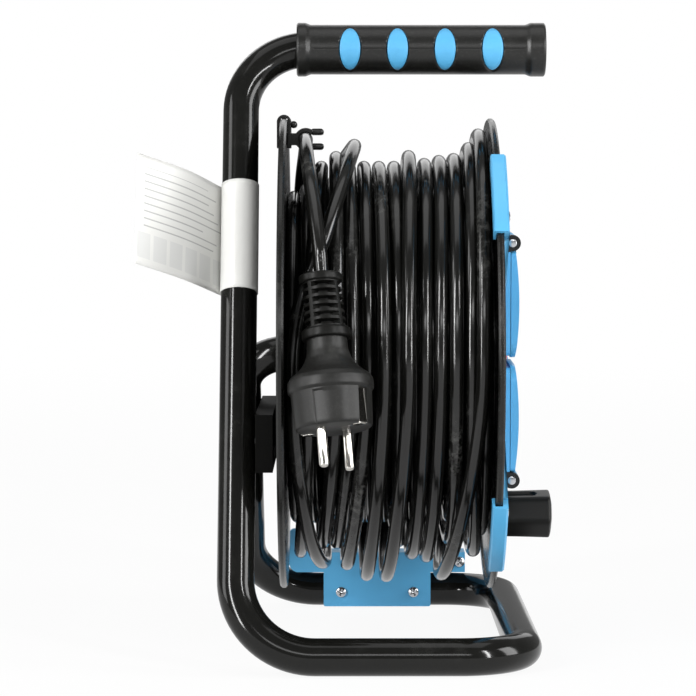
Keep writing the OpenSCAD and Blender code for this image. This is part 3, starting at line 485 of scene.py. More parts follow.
@dataclass(frozen=True)
class Finish:
    """A solid finish: a colour with cloudy tone, fine grain in bump and roughness, dust, and sparse scuffs.

    Args:
        name: The material's name.
        color: Linear colour.
        rough: Lowest and highest roughness.
        tone: How far the colour drifts, as a share.
        grain: Grains to the metre.
        grain_depth: Depth of the grain in metres.
        wave: Depth of long shallow waves in metres.
        dust: Share of pale dust.
        scuff: Share of fine lighter scratches.
        metal: Metallic.
        coat: Coat weight.
        run: Which way the grain runs.
        dust_color: Colour of the dust.
        shine: Specular level, 0.5 for plain plastic.
        speckle: Share of pale specks a millimetre apart.
    """

    name: str
    color: tuple[float, float, float]
    rough: tuple[float, float] = (0.35, 0.5)
    tone: float = 0.15
    grain: float = 2500.0
    grain_depth: float = 0.00001
    wave: float = 0.0
    dust: float = 0.0
    scuff: float = 0.0
    metal: float = 0.0
    coat: float = 0.0
    run: Grain = Grain.EVEN
    dust_color: tuple[float, float, float] = (0.2, 0.2, 0.19)
    shine: float = 0.5
    speckle: float = 0.0

    def tones(self) -> tuple[tuple[float, ...], tuple[float, ...]]:
        """The colour at its darkest and at its palest."""
        return tuple(tuple(c * (1 + way * self.tone) for c in self.color) for way in (-1, 1))

    def between(self, share: Wire) -> Wire:
        """The roughness at a share of the way from its lowest to its highest."""
        low, high = self.rough
        return low + (high - low) * share

    def close(self, net: Net, color: Wire, rough: Wire, normal: Wire) -> bpy.types.Material:
        """Ends the net with this finish's metal, coat and shine.

        Args:
            net: The net.
            color: The colour over the surface.
            rough: The roughness over the surface.
            normal: The bent normal.

        Returns:
            The material.
        """
        return net.finish({"Base Color": color, "Roughness": rough, "Normal": normal, "Metallic": self.metal,
                           "Coat Weight": self.coat, "Coat Roughness": 0.1, "Specular IOR Level": self.shine})

    def make(self) -> bpy.types.Material:
        """Builds the material."""
        net = Net(self.name)
        at = net.place()
        fine = net.noise(net.place(stretch=self.run.value), self.grain, 2.0)
        cloud = net.noise(at, 22.0, 4.0)
        blotch = net.noise(at, 95.0, 5.0, 0.65)
        color = net.mix(cloud.above(0.3, 0.7), *self.tones())
        rough = self.between(fine * 0.4 + blotch * 0.6)
        layers: list[tuple[Wire, tuple[float, ...], float]] = []
        if self.dust:
            lying = blotch.above(0.48, 0.72) * cloud.above(0.4, 0.65) * self.dust
            layers.append((lying, self.dust_color, 0.4))
        if self.speckle:
            specks = net.noise(at, 850.0, 3.0, 0.7).above(0.5, 0.72) * self.speckle
            layers.append((specks, self.dust_color, 0.3))
        if self.scuff:
            scratch = net.noise(net.place(stretch=(1, 0.12, 0.5)), 900.0, 2.0).above(0.66, 0.74)
            scratch = scratch * cloud.above(0.5, 0.62) * self.scuff
            layers.append((scratch, tuple(min(1.0, c * 2.2 + 0.03) for c in self.color), 0.25))
        for share, over, rougher in layers:
            color = net.mix(share, color, over)
            rough = rough + share * rougher
        normal = net.bump(fine, self.grain_depth)
        if self.wave:
            normal = net.bump(cloud, self.wave, normal)
        return self.close(net, color, rough, normal)


@dataclass(frozen=True)
class Sheath(Finish):
    """The cord's rubber sheath: faint lines along it from the die, and dusty stretches."""

    def make(self) -> bpy.types.Material:
        """Builds the material from the cord's own UV: U round it and V in metres along it."""
        net = Net(self.name)
        u, v = net.uv()
        cosine, sine = (net.node("ShaderNodeMath", {"operation": kind}, {0: u * (2 * math.pi)})
                        for kind in ("COSINE", "SINE"))
        lines = net.noise(net.point(X=cosine, Y=sine, Z=v * 2.0), 6.0, 3.0)
        at = net.place()
        skin = net.noise(at, 1900.0, 2.0)
        cloud = net.noise(at, 30.0, 4.0)
        stretch = net.noise(net.point(Z=v), 9.0, 3.0)
        rough = self.between(lines * 0.5 + cloud * 0.5)
        lying = stretch.above(0.52, 0.66) * net.noise(at, 260.0, 5.0, 0.7).above(0.42, 0.7) * self.dust
        color = net.mix(lying, net.mix(lines, *self.tones()), self.dust_color)
        normal = net.bump(skin, self.grain_depth, net.bump(lines, self.wave))
        return self.close(net, color, rough + lying * 0.3, normal)


@dataclass(frozen=True)
class RuledFilm(Finish):
    """White label film with plain grey rules and blocks, laid out on the piece's own UV.

    Args:
        rows: Rows over the film's whole height.
        blocks: Blocks over its free end's length.
    """

    rows: float = 15.0
    blocks: float = 6.0

    def make(self) -> bpy.types.Material:
        """Builds the material: rules of uneven length above a row of blocks, and none on the wrap."""
        net = Net(self.name)
        u, v = net.uv()
        at = net.place()
        fine = net.noise(at, 1500.0, 2.0)
        cloud = net.noise(at, 40.0, 3.0)
        row = (v * self.rows).fraction()
        line = (row - 0.5).absolute() < 0.09
        end = net.noise(net.point(Y=(v * self.rows - row) * 3.1), 2.0, 0.0)
        inside = (u < (0.55 + end * 0.6)) * (0.08 < u) * (0.36 < v) * (v < 0.9)
        box = ((u * self.blocks).fraction() - 0.5).absolute() < 0.4
        block = box * (0.07 < v) * (v < 0.3) * (u < 0.98) * (0.02 < u)
        white = net.mix(cloud, tuple(c * 0.97 for c in self.color), self.color)
        color = net.mix(line * inside * 0.5, white, (0.12, 0.12, 0.13))
        color = net.mix(block * 0.16, color, (0.25, 0.27, 0.3))
        return self.close(net, color, self.between(fine), net.bump(cloud, self.wave))


BLACK_LACQUER = Finish("black lacquer", (0.005, 0.005, 0.0044), (0.09, 0.15), tone=0.1, grain=700.0,
                       grain_depth=0.000004, wave=0.00012, dust=0.03, shine=0.3)
# Satin black for the cross brace: a satin paint whose colour is set darker than the other blacks as painted
# shade, standing in for the shade the brace sits in.
SHADE_DARKENED_SATIN_BLACK = Finish("satin black paint with painted shade", (0.0022, 0.0022, 0.002), (0.5, 0.65), tone=0.2, grain=1200.0,
                     dust=0.01, shine=0.06)
BLACK_PLASTIC = Finish("black plastic", (0.005, 0.005, 0.0044), (0.2, 0.34), dust=0.07, scuff=0.12,
                       grain_depth=0.000012, shine=0.38)
GRIP_RUBBER = Finish("grip rubber", (0.005, 0.005, 0.0044), (0.26, 0.4), grain=3200.0, grain_depth=0.00002,
                     dust=0.04, speckle=0.055, shine=0.45)
INLAY_RUBBER = Finish("blue grip rubber", (0.07, 0.33, 0.58), (0.4, 0.55), tone=0.06, grain=3200.0,
                      grain_depth=0.00002)
BLUE_PLASTIC = Finish("azure plastic", (0.078, 0.345, 0.6), (0.26, 0.38), tone=0.05, grain_depth=0.00001,
                      scuff=0.05, dust=0.03, dust_color=(0.5, 0.6, 0.68))
CORD_SHEATH = Sheath("cord sheath", (0.0045, 0.0045, 0.004), (0.1, 0.19), tone=0.2, grain_depth=0.000012,
                     wave=0.00006, dust=0.3)
PLUG_RUBBER = Finish("plug rubber", (0.007, 0.007, 0.0063), (0.36, 0.5), grain=3600.0, grain_depth=0.000025,
                     dust=0.08, scuff=0.15, speckle=0.04, shine=0.33)
KNOB_PLASTIC = Finish("knob plastic", (0.005, 0.005, 0.0044), (0.28, 0.4), dust=0.06, scuff=0.12, shine=0.2)
RELIEF_RUBBER = Finish("relief rubber", (0.004, 0.004, 0.0035), (0.32, 0.45), dust=0.08, scuff=0.1,
                       shine=0.15)
ZINC_STEEL = Finish("bright zinc", (0.5, 0.51, 0.53), (0.16, 0.28), tone=0.08, metal=1.0, grain=1500.0)
NICKEL = Finish("nickel plate", (0.62, 0.6, 0.56), (0.07, 0.13), tone=0.05, metal=1.0, run=Grain.ALONG_Z)
BRASS = Finish("bare brass", (0.75, 0.58, 0.27), (0.22, 0.36), tone=0.1, metal=1.0)
WHITE_NYLON = Finish("natural nylon", (0.82, 0.81, 0.78), (0.4, 0.55), tone=0.04)
LABEL_FILM = RuledFilm("label film", (0.74, 0.74, 0.715), (0.28, 0.38), wave=0.0002, coat=0.2)
RED_PLASTIC = Finish("red plastic", (0.55, 0.02, 0.02), (0.3, 0.4), tone=0.05)


class Slot(Enum):
    """The record's material slots, each with its finish."""

    black_lacquer = BLACK_LACQUER
    black_plastic = BLACK_PLASTIC
    grip_rubber = GRIP_RUBBER
    inlay_rubber = INLAY_RUBBER
    blue_plastic = BLUE_PLASTIC
    cord_rubber = CORD_SHEATH
    plug_rubber = PLUG_RUBBER
    zinc_steel = ZINC_STEEL
    nickel = NICKEL
    brass = BRASS
    white_nylon = WHITE_NYLON
    label_film = LABEL_FILM
    red_plastic = RED_PLASTIC


# ---------- the bench, where pieces are made and handed to their bodies ----------


def mesh_of(name: str, shape: Shape, scale: float = MM) -> bpy.types.Mesh:
    """A new mesh of a shape's points and faces, in metres.

    Args:
        name: Its name.
        shape: The shape.
        scale: Metres to the shape's unit.

    Returns:
        The mesh.
    """
    mesh = bpy.data.meshes.new(name)
    faces = [row for block in shape.faces for row in block.tolist()]
    mesh.from_pydata((shape.points * scale).tolist(), [], faces)
    return mesh


def points_of(mesh: bpy.types.Mesh) -> np.ndarray:
    """A mesh's points as an n by 3 array of metres."""
    flat = np.empty(len(mesh.vertices) * 3, np.float32)
    mesh.vertices.foreach_get("co", flat)
    return flat.reshape(-1, 3)


class Bench:
    """Makes objects from shapes, dresses them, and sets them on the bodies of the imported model."""

    def __init__(self, frame: dict[str, Any]) -> None:
        """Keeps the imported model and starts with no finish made."""
        self.frame = frame
        self.finishes: dict[Slot, bpy.types.Material] = {}

    def finish(self, slot: Slot) -> bpy.types.Material:
        """The slot's material, made once."""
        if slot not in self.finishes:
            self.finishes[slot] = slot.value.make()
        return self.finishes[slot]

    def dress(self, obj: bpy.types.Object, slot: Slot) -> None:
        """Gives an object one material in place of all it has."""
        obj.data.materials.clear()
        obj.data.materials.append(self.finish(slot))

    def piece(self, name: str, shape: Shape, body: str, slot: Slot, replaces: Sequence[str] = (),
              sharp: float = 40.0, weld: bool = True) -> bpy.types.Object:
        """Makes a piece from a shape in the part's frame and rides it on its body.

        Args:
            name: The piece's name.
            shape: Its mesh, in millimetres.
            body: The body that carries it.
            slot: Its finish.
            replaces: The CAD nodes that it stands for.
            sharp: Edges steeper than this angle stay sharp.
            weld: Whether points that fall together are merged.

        Returns:
            The object.
        """
        mesh = mesh_of(name, shape)
        layer = mesh.uv_layers.new(name="UVMap")
        corners = np.concatenate([u.reshape(-1, 2) for u in shape.uv]).astype(np.float32)
        layer.data.foreach_set("uv", corners.ravel())
        if weld:
            work = bmesh.new()
            work.from_mesh(mesh)
            bmesh.ops.remove_doubles(work, verts=work.verts, dist=1e-6)
            bmesh.ops.recalc_face_normals(work, faces=work.faces)
            work.to_mesh(mesh)
            work.free()
        return self.set_up(name, mesh, body, slot, replaces, sharp)

    def set_up(self, name: str, mesh: bpy.types.Mesh, body: str, slot: Slot, replaces: Sequence[str],
               sharp: float) -> bpy.types.Object:
        """Links a finished mesh as a piece on its body.

        Args:
            name: The piece's name.
            mesh: Its mesh in metres.
            body: The body that carries it.
            slot: Its finish.
            replaces: The CAD nodes that it stands for.
            sharp: Edges steeper than this angle stay sharp.

        Returns:
            The object.
        """
        mesh.shade_smooth()
        mesh.set_sharp_from_angle(angle=math.radians(sharp))
        obj = bpy.data.objects.new(name, mesh)
        bpy.context.scene.collection.objects.link(obj)
        self.dress(obj, slot)
        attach(obj, body)
        if replaces:
            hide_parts(*replaces)
        LOG.info("%s on %s: %d faces", name, body, len(mesh.polygons))
        return obj

    def eased(self, node: str, body: str, slot: Slot, width: float, segments: int = 2,
              angle: float = 35.0) -> bpy.types.Object:
        """A moulded copy of a CAD node whose edges are rounded.

        Args:
            node: The node, which the copy replaces.
            body: The body that carries it.
            slot: Its finish.
            width: The rounding in millimetres.
            segments: Parts of each rounding.
            angle: Edges flatter than this stay as they are.

        Returns:
            The object.
        """
        mesh = bpy.data.meshes.new(node + "_moulded")
        work = bmesh.new()
        work.from_mesh(self.frame["nodes"][node].data)
        bmesh.ops.remove_doubles(work, verts=work.verts, dist=2e-6)
        bmesh.ops.dissolve_limit(work, angle_limit=math.radians(0.4), verts=work.verts, edges=work.edges)
        work.to_mesh(mesh)
        work.free()
        mesh.materials.clear()
        obj = self.set_up(node + "_moulded", mesh, body, slot, [node], angle)
        bevel = obj.modifiers.new("edges", "BEVEL")
        bevel.width, bevel.segments = width * MM, segments
        bevel.limit_method, bevel.angle_limit = "ANGLE", math.radians(angle)
        bevel.harden_normals = True
        return obj


@dataclass(frozen=True)
class Placement:
    """Where a sub-assembly's own frame lies in the part's frame.

    Args:
        turns: Rotations, the first one innermost.
        offset: The origin's place.
        mirror_z: Whether it is mirrored in its own Z first.
    """

    turns: tuple[tuple[str, float], ...] = ()
    offset: tuple[float, float, float] = (0.0, 0.0, 0.0)
    mirror_z: bool = False

    def matrix(self) -> np.ndarray:
        """The rotation of all turns together."""
        made = np.diag([1.0, 1.0, -1.0]) if self.mirror_z else np.eye(3)
        for axis, degrees in self.turns:
            made = turned(axis, degrees) @ made
        return made

    def set(self, shape: Shape) -> Shape:
        """The shape at this place."""
        return shape.moved(self.matrix(), self.offset)

    def point(self, p: np.ndarray) -> np.ndarray:
        """Points of the own frame as points of the part's frame."""
        return np.asarray(p, float) @ self.matrix().T + np.array(self.offset)


# the drum's axle and its turn at rest, the plug as it hangs, and the near riser that the label wraps
AXIS_H = 147.0
REST_TURN = 1.5
DRUM = Placement((("x", REST_TURN),), (0.0, 0.0, AXIS_H))
AXLE = Placement((), (0.0, 0.0, AXIS_H))
PLUG = Placement((("z", 52.0), ("x", -15.5), ("y", -4.7)), (-9.6, -117.5, 139.5))
RISER = Placement((("x", -21.77),), (-55.0, -117.0, 9.0))


# ---------- cord ----------


@dataclass(frozen=True)
class WoundCord:
    """The 25 m cord: three inner layers, an outer layer of loose loops, the last turn, and the lead.

    Places along X and distances from the axle are given at the far side, the top, the near side and the
    bottom of each outer loop; angles run from the top towards the near side.

    Args:
        diameter: The sheath's outer diameter.
        length: The real length in metres; not used.
        far_x: Places of the loops at the far side; the other seven lists go on in the same way.
        lead: Place, angle and distance of points on the last turn, up to where the cord hangs free.
        start_angle: Where the outer layer starts.
        inner_r: Distance of each inner layer.
        rear_x: Where the inner layers start along X.
        inner_turns: Whole turns in the inner layers.
        climb: Turns in which one layer climbs to the next.
        first_angle: Where the first inner layer starts.
        tail_from: The clamped end, in the drum's frame.
        tail_lean: How far the end leans outwards, in degrees.
        tail_straight: Its straight length.
        relief_top: Where the cord enters the strain relief, in the plug's frame.
        sides: Points in a ring.
    """

    diameter: float = 7.0
    length: float = 25.0
    far_x: tuple[float, ...] = (66.2, 58.6, 51.1, 43.6, 36.1, 28.6, 21.1, 13.6, 6.1, -1.4, -8.9, -16.4, -23.9)
    far_r: tuple[float, ...] = (99, 97.5, 90, 90, 90, 90, 97.5, 90, 90, 90, 90, 90, 90)
    top_x: tuple[float, ...] = (65.5, 60.5, 53, 45.5, 38, 30, 22.5, 14.8, 7.2, -0.4, -7, -14.5)
    top_r: tuple[float, ...] = (111.5, 104.5, 99, 98, 96.5, 100.5, 95, 95, 95, 95, 100, 95)
    near_x: tuple[float, ...] = (64, 58.8, 51.2, 43.7, 36, 28, 23.5, 16.3, 8.8, 1.2, -6.4, -20)
    near_r: tuple[float, ...] = (97.5, 90, 92.5, 90, 90, 97, 90, 96, 90, 90, 90, 90)
    low_x: tuple[float, ...] = (46.5, 63, 51, 39, 31.5, 18.5, 25, 8.5, -1.5, -6.5, -14, -25)
    low_r: tuple[float, ...] = (113, 101, 95.5, 104, 102.5, 114, 96, 113.5, 108, 97, 97, 101.5)
    lead: tuple[tuple[float, float, float], ...] = (
        (-23.9, -90, 90), (-23.8, -84, 91), (-22.8, -74, 94.4), (-19.8, -62, 98), (-15, -48, 101.5),
        (-9.5, -36, 104.3), (-4.5, -24, 105.8), (0.5, -11, 106.3), (2.3, 0, 106.2), (1.5, 14, 106),
        (-3.5, 34, 105.2), (-11.5, 52, 102.5), (-20.5, 66, 98.5), (-25.5, 76, 95), (-27.7, 86, 93),
        (-27.9, 96, 93), (-27.2, 110, 97), (-24.5, 126, 101.8), (-20.5, 144, 104.8), (-16, 162, 106.5),
        (-12.8, 180, 107), (-13.5, 200, 106), (-17, 220, 103.5), (-21.5, 240, 101), (-25.6, 258, 99.6),
        (-27.6, 276, 100), (-27.8, 294, 101.6), (-26.8, 312, 103.6), (-25.3, 328, 105.6),
        (-23.4, 342, 107.8), (-22.4, 354, 109.4), (-22.4, 363, 109.5), (-22.3, 372, 110.3),
        (-21.7, 382, 111.5), (-20.6, 392, 112.8), (-19, 402, 113.9), (-17, 411, 114.5))
    start_angle: float = -90.0
    inner_r: tuple[float, ...] = (71.05, 77.3, 83.6)
    rear_x: float = -28.2
    inner_turns: float = 34.0
    climb: float = 0.5
    first_angle: float = 133.0
    tail_from: tuple[float, float, float] = (-27.0, -58.7, 0.0)
    tail_lean: float = 5.4
    tail_straight: float = 20.0
    relief_top: float = 51.5
    sides: int = 16

    @staticmethod
    def around(x: np.ndarray, angle: np.ndarray, r: np.ndarray) -> np.ndarray:
        """The point at distance r from the axis, at an angle from the top towards the near side."""
        a = np.radians(angle)
        return np.stack([x + 0 * a, -r * np.sin(a), AXIS_H + r * np.cos(a)], axis=-1)

    @staticmethod
    def eased(values: np.ndarray, t: np.ndarray) -> np.ndarray:
        """Smooth steps from each value of a list to the next, at place t."""
        i = np.minimum(t.astype(int), len(values) - 2)
        f = t - i
        s = f * f * (3 - 2 * f)
        return values[i] * (1 - s) + values[i + 1] * s

    def outer_layer(self) -> np.ndarray:
        """The loose loops: r is the side's distance times sin^2 plus the top's or bottom's times cos^2."""
        loops = len(self.top_x)
        turn = np.linspace(0, loops, loops * 72 + 1)
        angle = self.start_angle + 360 * turn
        quarter = np.stack([self.far_x[:-1], self.top_x, self.near_x, self.low_x], axis=1).ravel()
        x = self.eased(np.append(quarter, self.far_x[-1]), 4 * turn)
        half = np.append(np.stack([self.far_r[:-1], self.near_r], axis=1).ravel(), self.far_r[-1])
        k = np.minimum(turn.astype(int), loops - 1)
        across = np.sin(np.radians(angle)) ** 2
        end = np.where(np.cos(np.radians(angle)) > 0, np.array(self.top_r)[k], np.array(self.low_r)[k])
        return self.around(x, angle, self.eased(half, 2 * turn) * across + end * (1 - across))

    def inner_layers(self) -> np.ndarray:
        """Three even layers that run to and fro, with a climb of half a turn at each end."""
        share = (self.start_angle - self.first_angle) / 360 % 1
        turns = self.inner_turns + share
        n = (turns - 3 * self.climb) / 3
        knots = np.cumsum([0, n, self.climb, n, self.climb, n, self.climb])
        s = np.linspace(0, turns, int(turns * 36))[:-1]
        front = self.far_x[0]
        x = np.interp(s, knots, [self.rear_x, front, front, self.rear_x, self.rear_x, front, front])
        r = np.full_like(s, self.inner_r[0])
        for k, rise in enumerate(np.diff([*self.inner_r, self.far_r[0]])):
            r = r + rise * ramp(knots[2 * k + 1], knots[2 * k + 2], s)
        return self.around(x, self.first_angle + 360 * s, r)

    def tail(self) -> np.ndarray:
        """The straight end through the hub's wall, then a cubic curve onto the first layer."""
        lean = math.radians(self.tail_lean)
        ahead = DRUM.matrix() @ np.array([0, -math.sin(lean), -math.cos(lean)])
        start = DRUM.point(np.array(self.tail_from))
        line = start + ahead * np.linspace(0, self.tail_straight, 5)[:, None]
        a = math.radians(self.first_angle)
        end = self.around(*np.array([[self.rear_x], [self.first_angle], [self.inner_r[0]]]))[0]
        tangent = np.array([0, -math.cos(a), -math.sin(a)])
        t = np.linspace(0, 1, 9)[1:-1, None]
        b, c = line[-1] + 8 * ahead, end - 8 * tangent
        curve = (1 - t) ** 3 * line[-1] + 3 * t * (1 - t) ** 2 * b + 3 * t * t * (1 - t) * c + t ** 3 * end
        return np.concatenate([line, curve])

    def last_turn(self) -> np.ndarray:
        """The last turn, the way through the clip, and the hang down to the plug's strain relief."""
        s = spline(np.array(self.lead, float), 6)
        up = PLUG.matrix() @ np.array([0.0, 0, 1])
        ends = np.array([self.relief_top + 14, self.relief_top + 7, self.relief_top, self.relief_top - 12])
        drop = np.array(PLUG.offset) + ends[:, None] * up
        hang = self.around(s[:, 0], s[:, 1], s[:, 2])
        gap = spline(np.concatenate([hang[-7:-1:6], hang[-1:], drop[:3]]), 6)[6:]
        return np.concatenate([hang[1:], gap[1:], drop[3:]])

    def route(self) -> np.ndarray:
        """The whole centreline, from the clamp in the hub to the plug."""
        return np.concatenate([self.tail(), self.inner_layers(), self.outer_layer(), self.last_turn()])

    def build(self, bench: Bench, with_pieces: Sequence[bpy.types.Object]) -> None:
        """Args:
            bench: Where it is made.
            with_pieces: The plug's pieces; not used.
        """
        path = self.route()
        out = unit((path - np.array([0, 0, AXIS_H])) * np.array([0.0, 1, 1]))
        shape = swept(path, out, self.diameter / 2, self.sides)
        cord = bench.piece("cord", shape, "drum", Slot.cord_rubber,
                           ["cord_core", "cord_winding", "cord_lead"], weld=False)
        real = np.linalg.norm(np.diff(path, axis=0), axis=1).sum() * MM
        LOG.info("cord is %.2f m long", real)


@dataclass(frozen=True)
class MouldedPlug:
    """The plug: slotted strain relief, body with a grip panel and earth grooves, two pins.

    Args:
        base_z: The face with the pins, in the plug's own frame, where Z runs from the pins to the cord.
        base_r: The body's radius at that face.
        collar_r: Radius of the widest collar.
        neck_z: Where the neck meets the strain relief.
        relief_z: The relief's far end.
        pin_r: Radius of a pin.
        pin_l: Length of a pin.
        pin_x: Distance of a pin from the middle.
        groove: Half the width of an earth groove.
        slots: Heights of the relief's slots.
        relief_r: The relief's radius at the neck and at its far end.
        relief_bow: How far its far end is pulled to the side by the cord.
    """

    base_z: float = -22.4
    base_r: float = 19.0
    collar_r: float = 20.5
    neck_z: float = 20.8
    relief_z: float = 52.6
    pin_r: float = 2.4
    pin_l: float = 19.0
    pin_x: float = 9.5
    groove: float = 3.0
    slots: tuple[float, ...] = (28.0, 31.75, 35.5, 39.25, 43.0, 46.75)
    relief_r: tuple[float, float] = (10.1, 8.9)
    relief_bow: float = 0.8

    @staticmethod
    def upright(profile_z: np.ndarray, radius: np.ndarray, sides: int) -> Shape:
        """A closed surface whose point at height z and angle a stands off the middle by radius[z, a]."""
        a = circle(sides)
        points = np.stack([radius * np.cos(a), radius * np.sin(a), profile_z[:, None] + 0 * a], axis=-1)
        return grid(points, close_cols=True, caps=True)

    def relief(self) -> Shape:
        """Radius at z and angle a: a taper with a bead at each end, less slots that leave four webs."""
        low, high = self.neck_z, self.relief_z
        z = np.concatenate([[low], np.linspace(low + 0.05, high, 190)])
        a = circle(176)
        share = (z - low) / (high - low)
        r = self.relief_r[0] + (self.relief_r[1] - self.relief_r[0]) * share
        for middle, half, rise in ((low + 2.6, 2.6, 1.8), (high - 2.0, 2.0, 1.4)):
            r = r + rise * np.sqrt(1 - np.clip(np.abs(z - middle) / half, 0, 1) ** 6)
        cut = sum(band(z, s, 0.75, 0.4) for s in self.slots)
        web = np.maximum(np.abs(np.cos(a)), np.abs(np.sin(a)))
        radius = r[:, None] - 4.4 * cut[:, None] * (1 - ramp(0.986, 0.993, web))
        made = self.upright(z, radius, len(a))
        rise = np.clip((made.points[:, 2] - low) / (high - low), 0, 1)
        return made.bent(made.points - self.relief_bow * rise[:, None] ** 2 * np.array([0.62, -0.79, 0.0]))

    def body(self) -> Shape:
        """Radius at z and angle a: neck, collar and barrel, less two grip recesses and the earth grooves."""
        knots = np.array([
            (self.base_z, 0.02), (self.base_z, self.base_r - 1.9), (self.base_z + 0.5, self.base_r - 1.0),
            (self.base_z + 1.5, self.base_r - 0.6), (-5.2, self.base_r + 0.3), (-4.7, self.collar_r - 0.7),
            (-4.0, self.collar_r - 0.1), (-2.0, self.collar_r), (0.6, self.collar_r - 0.2),
            (2.6, self.collar_r - 1.4), (4.2, 17.0), (6.2, 14.6), (8.6, 12.6), (11.5, 10.9), (15.5, 9.8),
            (self.neck_z, 9.5), (self.neck_z, 0.02)])
        dense, plain = np.arange(3.06, 4, 0.06), np.arange(4, 16, 0.25)
        parts = np.concatenate([[0, 1, 1.5, 2, 2.5, 3], dense, plain, [16]])
        z = np.interp(parts, np.arange(len(knots)), knots[:, 0])
        r = np.interp(parts, np.arange(len(knots)), knots[:, 1])
        a = circle(224)
        radius = r[:, None] + 0 * a
        barrel = ((z < -5.3) & (r > self.base_r - 2.0))[:, None]
        turn = (np.degrees(a) + 168.5) % 180
        depth = 0.95 * (1 - ramp(8, 44, turn)) * (turn < 60)
        radius = radius - depth * barrel * (z < -6.7)[:, None]
        earth = (np.abs(np.cos(a)) * self.base_r < self.groove) & barrel
        flat = (self.base_r - 2.2) / np.maximum(np.abs(np.sin(a)), 0.5)
        return self.upright(z, np.where(earth, flat + 0 * radius, radius), len(a))

    def pin(self) -> Shape:
        """A round pin with a domed tip: r falls as a quarter ellipse over the last 1.6 mm."""
        a = np.linspace(0, np.pi / 2, 8)
        tip = self.base_z - self.pin_l
        z = np.concatenate([[self.base_z + 1.0], [tip + 1.6], tip + 1.6 * (1 - np.sin(a[1:]))])
        r = np.concatenate([[self.pin_r], [self.pin_r], self.pin_r * np.cos(a[1:]) * 0.98 + 0.02])
        return self.upright(z[::-1], np.repeat(r[::-1, None], 40, axis=1), 40)

    def build(self, bench: Bench) -> list[bpy.types.Object]:
        """Makes the plug's pieces.

        Args:
            bench: Where they are made.

        Returns:
            The pieces that go with the cord.
        """
        pins = Shape.joined(self.pin().moved(offset=(s * self.pin_x, 0, 0)) for s in (-1, 1))
        outline = filleted([(-2.4, 12.6, 1.2), (2.4, 12.6, 1.2), (2.4, 17.6, 0.4), (-2.4, 17.6, 0.4)])
        tab = slab(outline, self.base_z - 0.35, self.base_z + 0.5, 0.2)
        tabs = Shape.joined([tab, tab.moved(turned("z", 180))])
        made = [bench.piece(name, PLUG.set(shape), "drum", slot, nodes) for name, shape, slot, nodes in (
            ("strain_relief", self.relief(), Slot.plug_rubber, ["plug_relief"]),
            ("plug_shell", self.body(), Slot.plug_rubber, ["plug_body"]),
            ("plug_prongs", pins, Slot.nickel, ["plug_pins"]))]
        made[0].data.materials[0] = RELIEF_RUBBER.make()
        made.append(bench.eased("plug_earth", "drum", Slot.nickel, 0.15))
        made.append(bench.piece("plug_earth_tabs", PLUG.set(tabs), "drum", Slot.nickel))
        return made


# ---------- frame ----------


@dataclass(frozen=True)
class TubeFrame:
    """The frame: one steel tube bent into base, risers, handle and axle.

    Args:
        tube_r: The tube's outer radius.
        corners: Where its straight runs would meet, from the handle's end to the axle's.
        bends: The bend radii at the inner corners.
    """

    tube_r: float = 9.0
    corners: tuple[tuple[float, float, float], ...] = (
        (95.5, 0, 302), (-55, 0, 302), (-55, -117, 9), (84, -117, 9), (84, 117, 9), (-55, 117, 9),
        (-55, 0, AXIS_H), (46, 0, AXIS_H))
    bends: tuple[float, ...] = (34, 38, 32, 32, 38, 23.5)

    def build(self, bench: Bench) -> None:
        """Makes the tube as one sweep and eases the brace's folded edges."""
        path = bent_line(self.corners, self.bends, 2.5)
        shape = swept(path, np.array([1.0, 1.0, 1.0]), self.tube_r, 56)
        bench.piece("bent_tube", shape, "frame", Slot.black_lacquer, ["frame_tube"])
        brace = bench.eased("cross_brace", "frame", Slot.black_lacquer, 0.5)
        # The brace's satin black is darker than the other blacks partly as painted shade.
        brace.data.materials[0] = SHADE_DARKENED_SATIN_BLACK.make()


